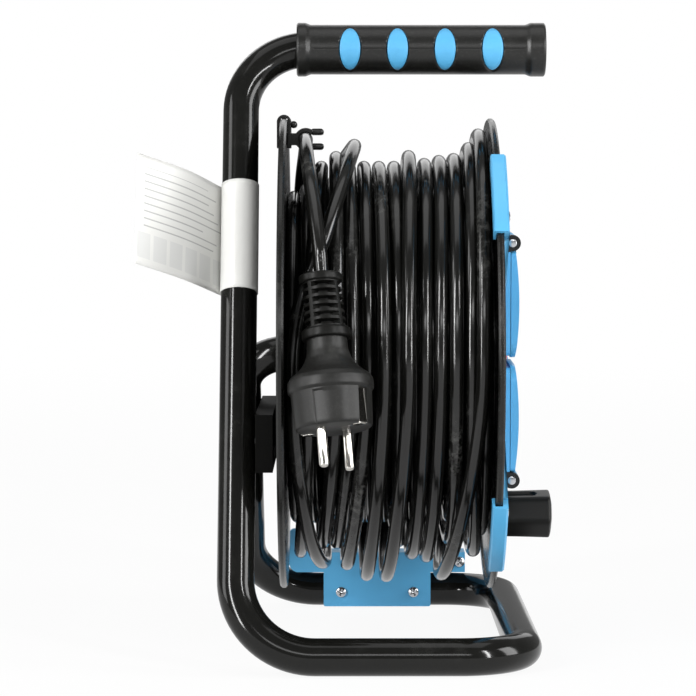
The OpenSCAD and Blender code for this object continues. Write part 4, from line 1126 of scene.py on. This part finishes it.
@dataclass(frozen=True)
class Grip:
    """The rubber sleeve on the handle, flared at both ends, with four ovals on each side.

    Args:
        height: The handle's height.
        ends: Where the sleeve starts and stops along X.
        radius: The sleeve's radius.
        flare: The radius of its ends.
        inlays: Middles of the ovals along X.
        half: Half the width and height of an oval.
    """

    height: float = 302.0
    ends: tuple[float, float] = (-27.0, 99.5)
    radius: float = 12.6
    flare: float = 13.65
    inlays: tuple[float, ...] = (0.1, 24.2, 48.3, 72.4)
    half: tuple[float, float] = (5.25, 10.5)

    def sleeve(self) -> Shape:
        """Radius at x and angle a: flared ends, a parting line at mid height, and a dip round each oval."""
        low, high = self.ends
        rim = np.array([0.0, 0.15, 0.45, 0.9])
        x = np.concatenate([low + rim, np.arange(low + 1.4, high - 1.2, 0.5), high - rim[::-1]])
        a = circle(176)
        flared = 1 - ramp(low + 4, low + 7.5, x) + ramp(high - 10.5, high - 7, x)
        r = self.radius + (self.flare - self.radius) * flared
        r = r - 0.9 * (1 - ramp(0, 0.9, np.minimum(x - low, high - x))) ** 2
        radius = r[:, None] + 0 * a
        for middle in self.inlays:
            away = np.hypot((x[:, None] - middle) / self.half[0], radius * np.cos(a) / self.half[1])
            radius = radius - 1.1 * (1 - ramp(1.0, 1.1, away))
        radius = radius - 0.22 * (np.abs(np.cos(a)) < 0.01) * ((x > low + 8) & (x < high - 11))[:, None]
        return round_x(radius, x, a, self.height)

    def inlay(self, middle: float, side: float) -> Shape:
        """An oval on the sleeve: it stands 0.25 mm proud, and its edge rounds down below the rubber."""
        share = np.array([0.02, 0.3, 0.55, 0.75, 0.86, 0.93, 0.975, 1.0, 1.0])
        lift = np.array([0.25, 0.25, 0.25, 0.24, 0.2, 0.1, -0.08, -0.35, -1.2])
        t = circle(56)
        x = middle + self.half[0] * share[:, None] * np.cos(t)
        z = self.half[1] * share[:, None] * np.sin(t)
        y = side * np.sqrt((self.radius + lift[:, None]) ** 2 - z ** 2)
        return grid(np.stack([x, y, self.height + z], axis=-1), close_cols=True, caps=True)

    def build(self, bench: Bench) -> None:
        """Makes the sleeve and its eight ovals."""
        bench.piece("handle_sleeve", self.sleeve(), "frame", Slot.grip_rubber, ["grip_sleeve"])
        ovals = Shape.joined(self.inlay(m, side) for m in self.inlays for side in (-1, 1))
        bench.piece("handle_ovals", ovals, "frame", Slot.inlay_rubber, ["grip_inlays"])


@dataclass(frozen=True)
class Label:
    """The film label: wrapped round the near riser, with a free end that hangs off it as a flag.

    Args:
        span: Its lower and upper edge, along the riser.
        leaves: Where round the tube the free end leaves, in degrees.
        length: The free end's length.
        radius: The wrap's radius.
        thick: The film's thickness.
    """

    span: tuple[float, float] = (183.5, 241.0)
    leaves: float = 54.0
    length: float = 62.6
    radius: float = 9.22
    thick: float = 0.3

    def sheet(self) -> Shape:
        """The path winds once round the tube and runs on as a tangent, with a curl that grows upwards."""
        v = np.linspace(*self.span, 24)[:, None]
        b = np.radians(np.linspace(self.leaves - 350, self.leaves, 90))
        r = self.radius + 0.16 * np.linspace(0, 1, len(b))
        wrap_x, wrap_y = -r * np.sin(b) + 0 * v, r * np.cos(b) + 0 * v
        s = np.linspace(0, self.length, 60)
        share, tall = s / self.length, (v - self.span[0]) / (self.span[1] - self.span[0])
        lean = np.radians(self.leaves - 9 * share + 5 * np.sin(2 * np.pi * share) * (0.4 + 0.6 * tall))
        step = self.length / (len(s) - 1)
        flag_x = wrap_x[:, -1:] - np.cumsum(np.cos(lean), axis=1) * step
        flag_y = wrap_y[:, -1:] - np.cumsum(np.sin(lean), axis=1) * step
        x, y = np.hstack([wrap_x, flag_x]), np.hstack([wrap_y, flag_y])
        made = grid(np.stack([x, y, v + 0 * x], axis=-1))
        column = made.uv[0][..., 0] * (x.shape[1] - 1)
        made.uv[0][..., 0] = 1 - (column - (len(b) - 1)) / len(s)
        return RISER.set(made)

    def build(self, bench: Bench) -> None:
        """Makes the film and gives it its thickness."""
        film = bench.piece("label_sheet", self.sheet(), "frame", Slot.label_film, ["info_label"])
        solid = film.modifiers.new("film", "SOLIDIFY")
        solid.thickness, solid.offset = self.thick * MM, 0.0


@dataclass(frozen=True)
class Screws:
    """Pan-head screws with cross recesses: four in the bracket, four in the cover, one in the axle's end.

    Args:
        bracket: X, Z, length and the cross's angle of each bracket screw.
        bracket_y: The bracket's face.
        cover_x: The cover's face.
        cover_r: Distance of the cover's screws from the axle.
    """

    bracket: tuple[tuple[float, float, float, float], ...] = (
        (-4.4, 9.0, 8.2, 20), (35.6, 9.0, 8.2, 64), (19.5, 25.8, 18, 5), (61, 25.8, 18, 40))
    bracket_y: float = 104.0
    cover_x: float = 75.75
    cover_r: float = 102.0

    @staticmethod
    def screw(radius: float, height: float, shank_r: float, shank_l: float, turn: float) -> Shape:
        """A screw along +Z, its head above 0: a dome less a cross whose arms slope to the middle.

        Args:
            radius: The head's radius.
            height: The head's height.
            shank_r: The shank's radius.
            shank_l: The shank's length below the head.
            turn: The cross's angle in degrees.

        Returns:
            The closed shape.
        """
        share = np.concatenate([np.linspace(0.01, 0.76, 20), [0.8, 0.87, 0.93, 0.97, 1.0]])
        a = circle(64)
        p = share[:, None] * np.cos(a + math.radians(turn))
        q = share[:, None] * np.sin(a + math.radians(turn))
        arm = np.maximum(*(band(wide, 0, 0.12, 0.04) * band(long, 0, 0.62, 0.08)
                           for wide, long in ((p, q), (q, p))))
        arm = np.maximum(arm, band(np.hypot(p, q), 0, 0.2, 0.05))
        deep = arm * (0.95 - 0.6 * share[:, None]) * height
        z = height * (0.3 + 0.7 * np.sqrt(1 - (0.97 * share[:, None]) ** 2)) - deep
        rest = np.array([(radius, 0.0), (shank_r, 0.0), (shank_r, -shank_l), (0.02, -shank_l)])
        r = np.concatenate([radius * share, rest[:, 0]])[:, None]
        z = np.concatenate([z, rest[:, 1:] + 0 * a])
        return grid(np.stack([r * np.cos(a), r * np.sin(a), z], axis=-1)[::-1], close_cols=True, caps=True)

    def build(self, bench: Bench) -> None:
        """Makes all nine."""
        to_near, to_front = turned("x", 90), turned("y", 90)
        bracket = [self.screw(2.9, 2.0, 1.9, depth, turn).moved(to_near, (x, self.bracket_y, z))
                   for x, z, depth, turn in self.bracket]
        quarters = [math.pi * (0.25 + 0.5 * k) for k in range(4)]
        cover = [self.screw(3.5, 2.0, 1.75, 5.0, 30 + 47 * k).moved(
            to_front, (self.cover_x, self.cover_r * math.cos(a), self.cover_r * math.sin(a)))
                 for k, a in enumerate(quarters)]
        for name, shape, body, node in (
                ("bracket_screw_set", Shape.joined(bracket), "frame", "bracket_screws"),
                ("cover_screw_set", DRUM.set(Shape.joined(cover)), "drum", "cover_screws")):
            bench.piece(name, shape, body, Slot.zinc_steel, [node])
        axle = self.screw(6.0, 4.0, 3.0, 16.0, 15).moved(to_front, (48, 0, AXIS_H))
        bench.piece("axle_end_screw", axle, "frame", Slot.zinc_steel, ["axle_screw"])


@dataclass(frozen=True)
class CrankKnob:
    """The crank's knob: a six-sided grip with worn corners, a little wider at its end, with one long recess.

    Args:
        ends: Where it starts and stops along X.
        off: Its distance below the axle.
        across: Half its width across the flats.
        corner: How far the rounded corners stand off the middle.
        flat_at: Angle of the first flat from the top, in degrees.
        slot_half: Half the recess's width.
        slot_end: The recess's round end along X.
    """

    ends: tuple[float, float] = (77.6, 104.0)
    off: float = 83.0
    across: float = 11.2
    corner: float = 12.5
    flat_at: float = 13.5
    slot_half: float = 3.4
    slot_end: float = 96.0

    def build(self, bench: Bench) -> None:
        """Radius at x and angle a: the flat's distance over cos(a - its middle), cut at the corners."""
        low, high = self.ends
        x = np.concatenate([[low, low], low + np.array([0.1, 0.3, 0.7]), np.linspace(low + 1.2, high - 3, 48),
                            high - np.array([2.4, 1.9, 1.6, 1.2, 0.75, 0.35, 0.1, 0.0])])
        size = 0.955 + 0.055 * ramp(low, high + 8, x)
        size[:5] *= [0.02, 0.93, 0.96, 0.985, 0.997]
        size[-8:] *= [1.0, 0.995, 0.98, 0.93, 0.8, 0.6, 0.35, 0.02]
        a = circle(240)
        from_flat = (np.degrees(a) - self.flat_at + 30) % 60 - 30
        flat = self.across / np.cos(np.radians(from_flat))
        outline = (flat ** -40.0 + self.corner ** -40.0) ** (-1 / 40)
        radius = size[:, None] * outline
        turn = (a + np.pi - math.radians(self.flat_at)) % (2 * np.pi) - np.pi
        across = self.across * np.tan(np.clip(turn, -1, 1))
        past = np.clip(x - self.slot_end + self.slot_half, 0, None)[:, None]
        slot = 1 - ramp(self.slot_half - 0.5, self.slot_half, np.hypot(across, past))
        radius = radius - 1.2 * slot * (size > 0.9)[:, None] * (x > low)[:, None]
        knob = bench.piece("hand_knob", DRUM.set(round_x(radius, x, a, -self.off)), "crank_knob",
                           Slot.black_plastic, ["crank_knob"], sharp=25)
        knob.data.materials[0] = KNOB_PLASTIC.make()


@dataclass(frozen=True)
class LidHinges:
    """The lids' riveted hinge pins and the coil springs on them.

    Args:
        place: The hinge's X and its distance from the axle's level.
        pitch: Half the distance between two sockets.
        half: Half a pin's length.
    """

    place: tuple[float, float] = (80.0, 58.8)
    pitch: float = 31.0
    half: float = 25.0

    def at(self, line: np.ndarray, k: int) -> np.ndarray:
        """A line about the hinge, set at socket k."""
        y = (-1, 1, -1, 1)[k] * self.pitch
        z = (1, 1, -1, -1)[k] * self.place[1]
        return line + np.array([self.place[0], y, z])

    def build(self, bench: Bench) -> None:
        """Makes four pins with heads, and four springs as helices of eleven turns."""
        reach = np.array([-0.5, -0.5, -0.35, 0.3, 0.35, 0.36])
        y = np.concatenate([-self.half + reach, [0.0], (self.half - reach)[::-1]])
        thick = np.array([0.02, 1.5, 2.0, 2.05, 1.6, 1.45])
        radius = np.concatenate([thick, [1.45], thick[::-1]])
        straight = np.stack([0 * y, y, 0 * y], axis=1)
        straight[:, 1] += np.arange(len(y)) * 1e-5
        pins = Shape.joined(swept(self.at(straight, k), np.array([1.0, 0, 0]), radius, 28) for k in range(4))
        bench.piece("hinge_pins", DRUM.set(pins), "drum", Slot.zinc_steel, ["lid_pins"])
        t = np.linspace(0, 11 * 2 * np.pi, 11 * 22)
        coil = np.stack([2.35 * np.cos(t), np.linspace(-4.9, 4.9, len(t)), 2.35 * np.sin(t)], axis=1)
        out = unit(coil * np.array([1.0, 0, 1.0]))
        springs = Shape.joined(swept(self.at(coil, k), out, 0.38, 8) for k in range(4))
        bench.piece("hinge_springs", DRUM.set(springs), "drum", Slot.zinc_steel, ["lid_springs"])


@dataclass(frozen=True)
class FrontCover:
    """The blue cover and the four black socket inserts in it, whose outer walls are as blue up to the ears.

    Args:
        lip: Where the saddles' inner lip starts and ends along X, and where its thinner copy starts.
        pitch: Half the distance between two sockets.
        cup: Radius within which an insert is black.
        ears: Distance from the axle's level beyond which it is black.
        plate_x: The plate's back along X.
    """

    lip: tuple[float, float, float] = (67.45, 69.45, 68.2)
    pitch: float = 31.0
    cup: float = 20.6
    ears: float = 54.4
    plate_x: float = 75.8

    def build(self, bench: Bench) -> None:
        """Makes the cover with its lips thinned, then the inserts, cut where their colour changes."""
        cover = bench.eased("front_cover", "drum", Slot.blue_plastic, 0.7)
        low, high, thin = (v * MM for v in self.lip)
        points = points_of(cover.data)
        x = points[:, 0]
        points[:, 0] = np.where(x < high - 1e-5, high - (high - x) * (high - thin) / (high - low), x)
        cover.data.vertices.foreach_set("co", points.ravel())
        across = DRUM.matrix()
        for k in range(4):
            insert = bench.eased(f"socket_{k + 1}", "drum", Slot.black_plastic, 0.4)
            insert.data.materials.append(bench.finish(Slot.blue_plastic))
            work = bmesh.new()
            work.from_mesh(insert.data)
            side = 1 if k < 2 else -1
            for at, way in ((across @ [0, 0, side * self.ears] + DRUM.offset, across @ [0, 0, 1]),
                            (np.array([self.plate_x, 0, 0]), np.array([1.0, 0, 0]))):
                bmesh.ops.bisect_plane(work, geom=work.verts[:] + work.edges[:] + work.faces[:],
                                       plane_co=(at * MM).tolist(), plane_no=way.tolist())
            work.to_mesh(insert.data)
            work.free()
            middle, normal = (np.empty(len(insert.data.polygons) * 3, np.float32) for _ in range(2))
            insert.data.polygons.foreach_get("center", middle)
            insert.data.polygons.foreach_get("normal", normal)
            p = (middle.reshape(-1, 3) / MM - np.array(DRUM.offset)) @ across
            away = np.hypot(np.abs(p[:, 1]) - self.pitch, np.abs(p[:, 2]) - self.pitch)
            wall = (np.abs(normal[::3]) < 0.7) & (p[:, 0] > self.plate_x)
            blue = wall & (away > self.cup) & (np.abs(p[:, 2]) < self.ears)
            insert.data.polygons.foreach_set("material_index", blue.astype(np.int32))


@dataclass(frozen=True)
class SocketLids:
    """The four lids, whose crowns are drawn in and whose knuckles keep their shape.

    Args:
        base: Where the crown starts along X.
        keep: The share of its height that is kept.
        hinge: Distance from the axle's level beyond which the knuckles lie.
    """

    base: float = 79.3
    keep: float = 0.87
    hinge: float = 54.3

    def build(self, bench: Bench) -> None:
        """Makes the lids, with each crown's height above the base times the kept share."""
        for lid in (f"lid_{k + 1}" for k in range(4)):
            made = bench.eased(lid, lid, Slot.blue_plastic, 0.8)
            points = points_of(made.data)
            local = (points / MM - np.array(DRUM.offset)) @ DRUM.matrix()
            crown = (local[:, 0] > self.base) & (np.abs(local[:, 2]) < self.hinge)
            x = local[:, 0] * MM
            points[:, 0] = np.where(crown, x - (1 - self.keep) * (x - self.base * MM), x)
            made.data.vertices.foreach_set("co", points.ravel())


@dataclass(frozen=True)
class ClipEnds:
    """The clip's blunt prong ends and the small lug beside its cap, as blocks along Y.

    Args:
        blocks: Lowest and highest X, and lowest and highest distance from the axle.
        half: Half their length.
        corner: The rounding of their corners, seen along Y.
        edge: The rounding of their ends' edges.
    """

    blocks: tuple[tuple[float, float, float, float], ...] = (
        (-20.0, -13.2, 111.5, 114.8), (-20.0, -13.2, 104.0, 107.3), (-30.4, -26.8, 115.1, 118.6))
    half: float = 6.4
    corner: float = 1.6
    edge: float = 1.1

    def build(self, bench: Bench) -> None:
        """Makes the blocks as slabs with rounded corners, stood on edge."""
        outlines = [filleted([(x, z, self.corner) for x, z in ((x0, z0), (x1, z0), (x1, z1), (x0, z1))])
                    for x0, x1, z0, z1 in self.blocks]
        ends = Shape.joined(slab(outline, -self.half, self.half, self.edge) for outline in outlines)
        bench.piece("clip_ends", AXLE.set(ends.moved(turned("x", 90))), "drum", Slot.black_plastic)


# CAD nodes whose edges are only rounded: the node, its body and the rounding
EASED = (
    ("rear_flange", "drum", 0.6), ("front_flange", "drum", 0.6), ("rim_clip", "drum", 0.6),
    ("bracket_plate", "frame", 0.7), ("bracket_back", "frame", 0.7), ("cutout_body", "drum", 0.3),
    ("reset_button", "reset_button", 0.5), ("axle_washer", "frame", 0.3), ("axle_collar", "frame", 0.4),
    ("earth_clips", "drum", 0.15))


@dataclass(frozen=True)
class Studio:
    """The camera, lamps and world, and the white floor under the reel.

    Args:
        focal: Lens length in millimetres on a 36 mm sensor.
        eye: The camera's place in metres.
        down: Its pitch below the level, in degrees.
        right: Its turn to the right of +Y, in degrees.
        lamps: Name, place, width and height in metres, and power of each.
        aim: What the lamps point at.
        floor_gloss: How white the floor is to gloss, as a share.
        sky_gloss: How white the world is to gloss, as a share.
    """

    focal: float = 145.82
    eye: tuple[float, float, float] = (-0.0053, -1.4444, 0.2275)
    down: float = 3.087
    right: float = 0.175
    lamps: tuple[tuple[str, tuple[float, float, float], tuple[float, float], float], ...] = (
        ("strip_left", (-1.36, -1.46, 0.75), (0.22, 1.5), 36.0),
        ("strip_right", (1.29, -1.53, 0.75), (0.12, 1.5), 24.0),
        ("side_left", (-1.95, -0.4, 0.8), (0.7, 1.4), 14.0),
        ("side_right", (1.93, -0.52, 0.8), (0.7, 1.4), 27.0),
        ("top", (0.0, -0.2, 1.9), (1.8, 1.2), 7.5),
        ("front", (0.1, -2.3, 0.95), (1.2, 0.3), 6.0),
        ("back", (0.0, 2.0, 1.3), (2.4, 1.2), 12.0))
    aim: tuple[float, float, float] = (0.0, 0.0, 0.15)
    floor_gloss: float = 0.8
    sky_gloss: float = 0.1

    def camera(self) -> None:
        """Sets the camera at its place and angle."""
        data = bpy.data.cameras.new("camera")
        data.lens, data.sensor_width = self.focal, 36.0
        data.clip_start, data.clip_end = 0.05, 50.0
        cam = bpy.data.objects.new("camera", data)
        cam.location = self.eye
        cam.rotation_euler = (math.radians(90 - self.down), 0, math.radians(-self.right))
        bpy.context.scene.collection.objects.link(cam)
        bpy.context.scene.camera = cam

    def light(self) -> None:
        """Sets the soft lamps, each an upright or level panel aimed at the reel."""
        for name, at, size, power in self.lamps:
            data = bpy.data.lights.new(name, "AREA")
            data.shape, data.size, data.size_y, data.energy = "RECTANGLE", size[0], size[1], power
            lamp = bpy.data.objects.new(name, data)
            lamp.location = at
            ahead = Vector(self.aim) - Vector(at)
            lamp.rotation_euler = ahead.to_track_quat("-Z", "Y").to_euler()
            bpy.context.scene.collection.objects.link(lamp)

    def floor(self, color: tuple[float, float, float] = (0.78, 0.78, 0.78), share: float = 0.92) -> None:
        """The floor: a wide level disc, white to the camera, that keeps some of its shading near the reel.

        Args:
            color: Its real colour.
            share: How much of plain white is mixed in at the middle for the rays that see it.
        """
        a, r = circle(96), np.array([25.0, 9.0, 3.0, 1.0, 0.05])[:, None]
        disc = grid(np.stack([r * np.cos(a), r * np.sin(a), 0 * r + 0 * a], axis=-1), close_cols=True)
        disc.faces.append(np.arange(4 * len(a), 5 * len(a))[None])
        mesh = mesh_of("floor", disc, 1.0)
        floor = bpy.data.objects.new("floor", mesh)
        floor.location.z = -0.0002
        bpy.context.scene.collection.objects.link(floor)
        net = Net("pale floor")
        off = net.node("ShaderNodeVectorMath", {"operation": "LENGTH"}, {0: net.place()}, 1)
        share = share + off.above(0.3, 2.5) * (1 - share)
        plain = net.node("ShaderNodeBsdfDiffuse", None, {"Color": (*color, 1)})
        glow = net.node("ShaderNodeEmission", None, {"Color": (1, 1, 1, 1), "Strength": 1.0})
        white = net.seen(self.floor_gloss) * share
        both = net.node("ShaderNodeMixShader", None, {0: white, 1: plain, 2: glow})
        net.node("ShaderNodeOutputMaterial", None, {"Surface": both})
        mesh.materials.append(net.material)

    def world(self, strength: float = 0.14) -> None:
        """White to the camera and an even grey sky of that strength for the light."""
        world = bpy.data.worlds.new("studio")
        bpy.context.scene.world = world
        net = Net("studio", world)
        grey, white = (net.node("ShaderNodeBackground", None, {"Color": (1, 1, 1, 1), "Strength": level})
                       for level in (strength, 1.0))
        both = net.node("ShaderNodeMixShader", None, {0: net.seen(self.sky_gloss), 1: grey, 2: white})
        net.node("ShaderNodeOutputWorld", None, {"Surface": both})

    def build(self) -> None:
        """Sets up all of it."""
        bpy.context.scene.view_settings.view_transform = "Standard"
        self.camera()
        self.light()
        self.floor()
        self.world()


def main() -> None:
    """Builds the studio and every sub-assembly in order."""
    logging.basicConfig(level=logging.INFO, format="%(name)s: %(message)s")
    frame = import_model()
    bench = Bench(frame)
    slots = {row["node"]: Slot[row["material_slot"]] for row in frame["record"]["subparts"]}
    for node, obj in frame["nodes"].items():
        bench.dress(obj, slots[node])
    Studio().build()
    plug = MouldedPlug().build(bench)
    WoundCord().build(bench, plug)
    for part in (TubeFrame(), Grip(), Label(), Screws(), CrankKnob(), LidHinges(), FrontCover(),
                 SocketLids(), ClipEnds()):
        part.build(bench)
    for node, body, width in EASED:
        bench.eased(node, body, slots[node], width)


if __name__ == "__main__":
    main()
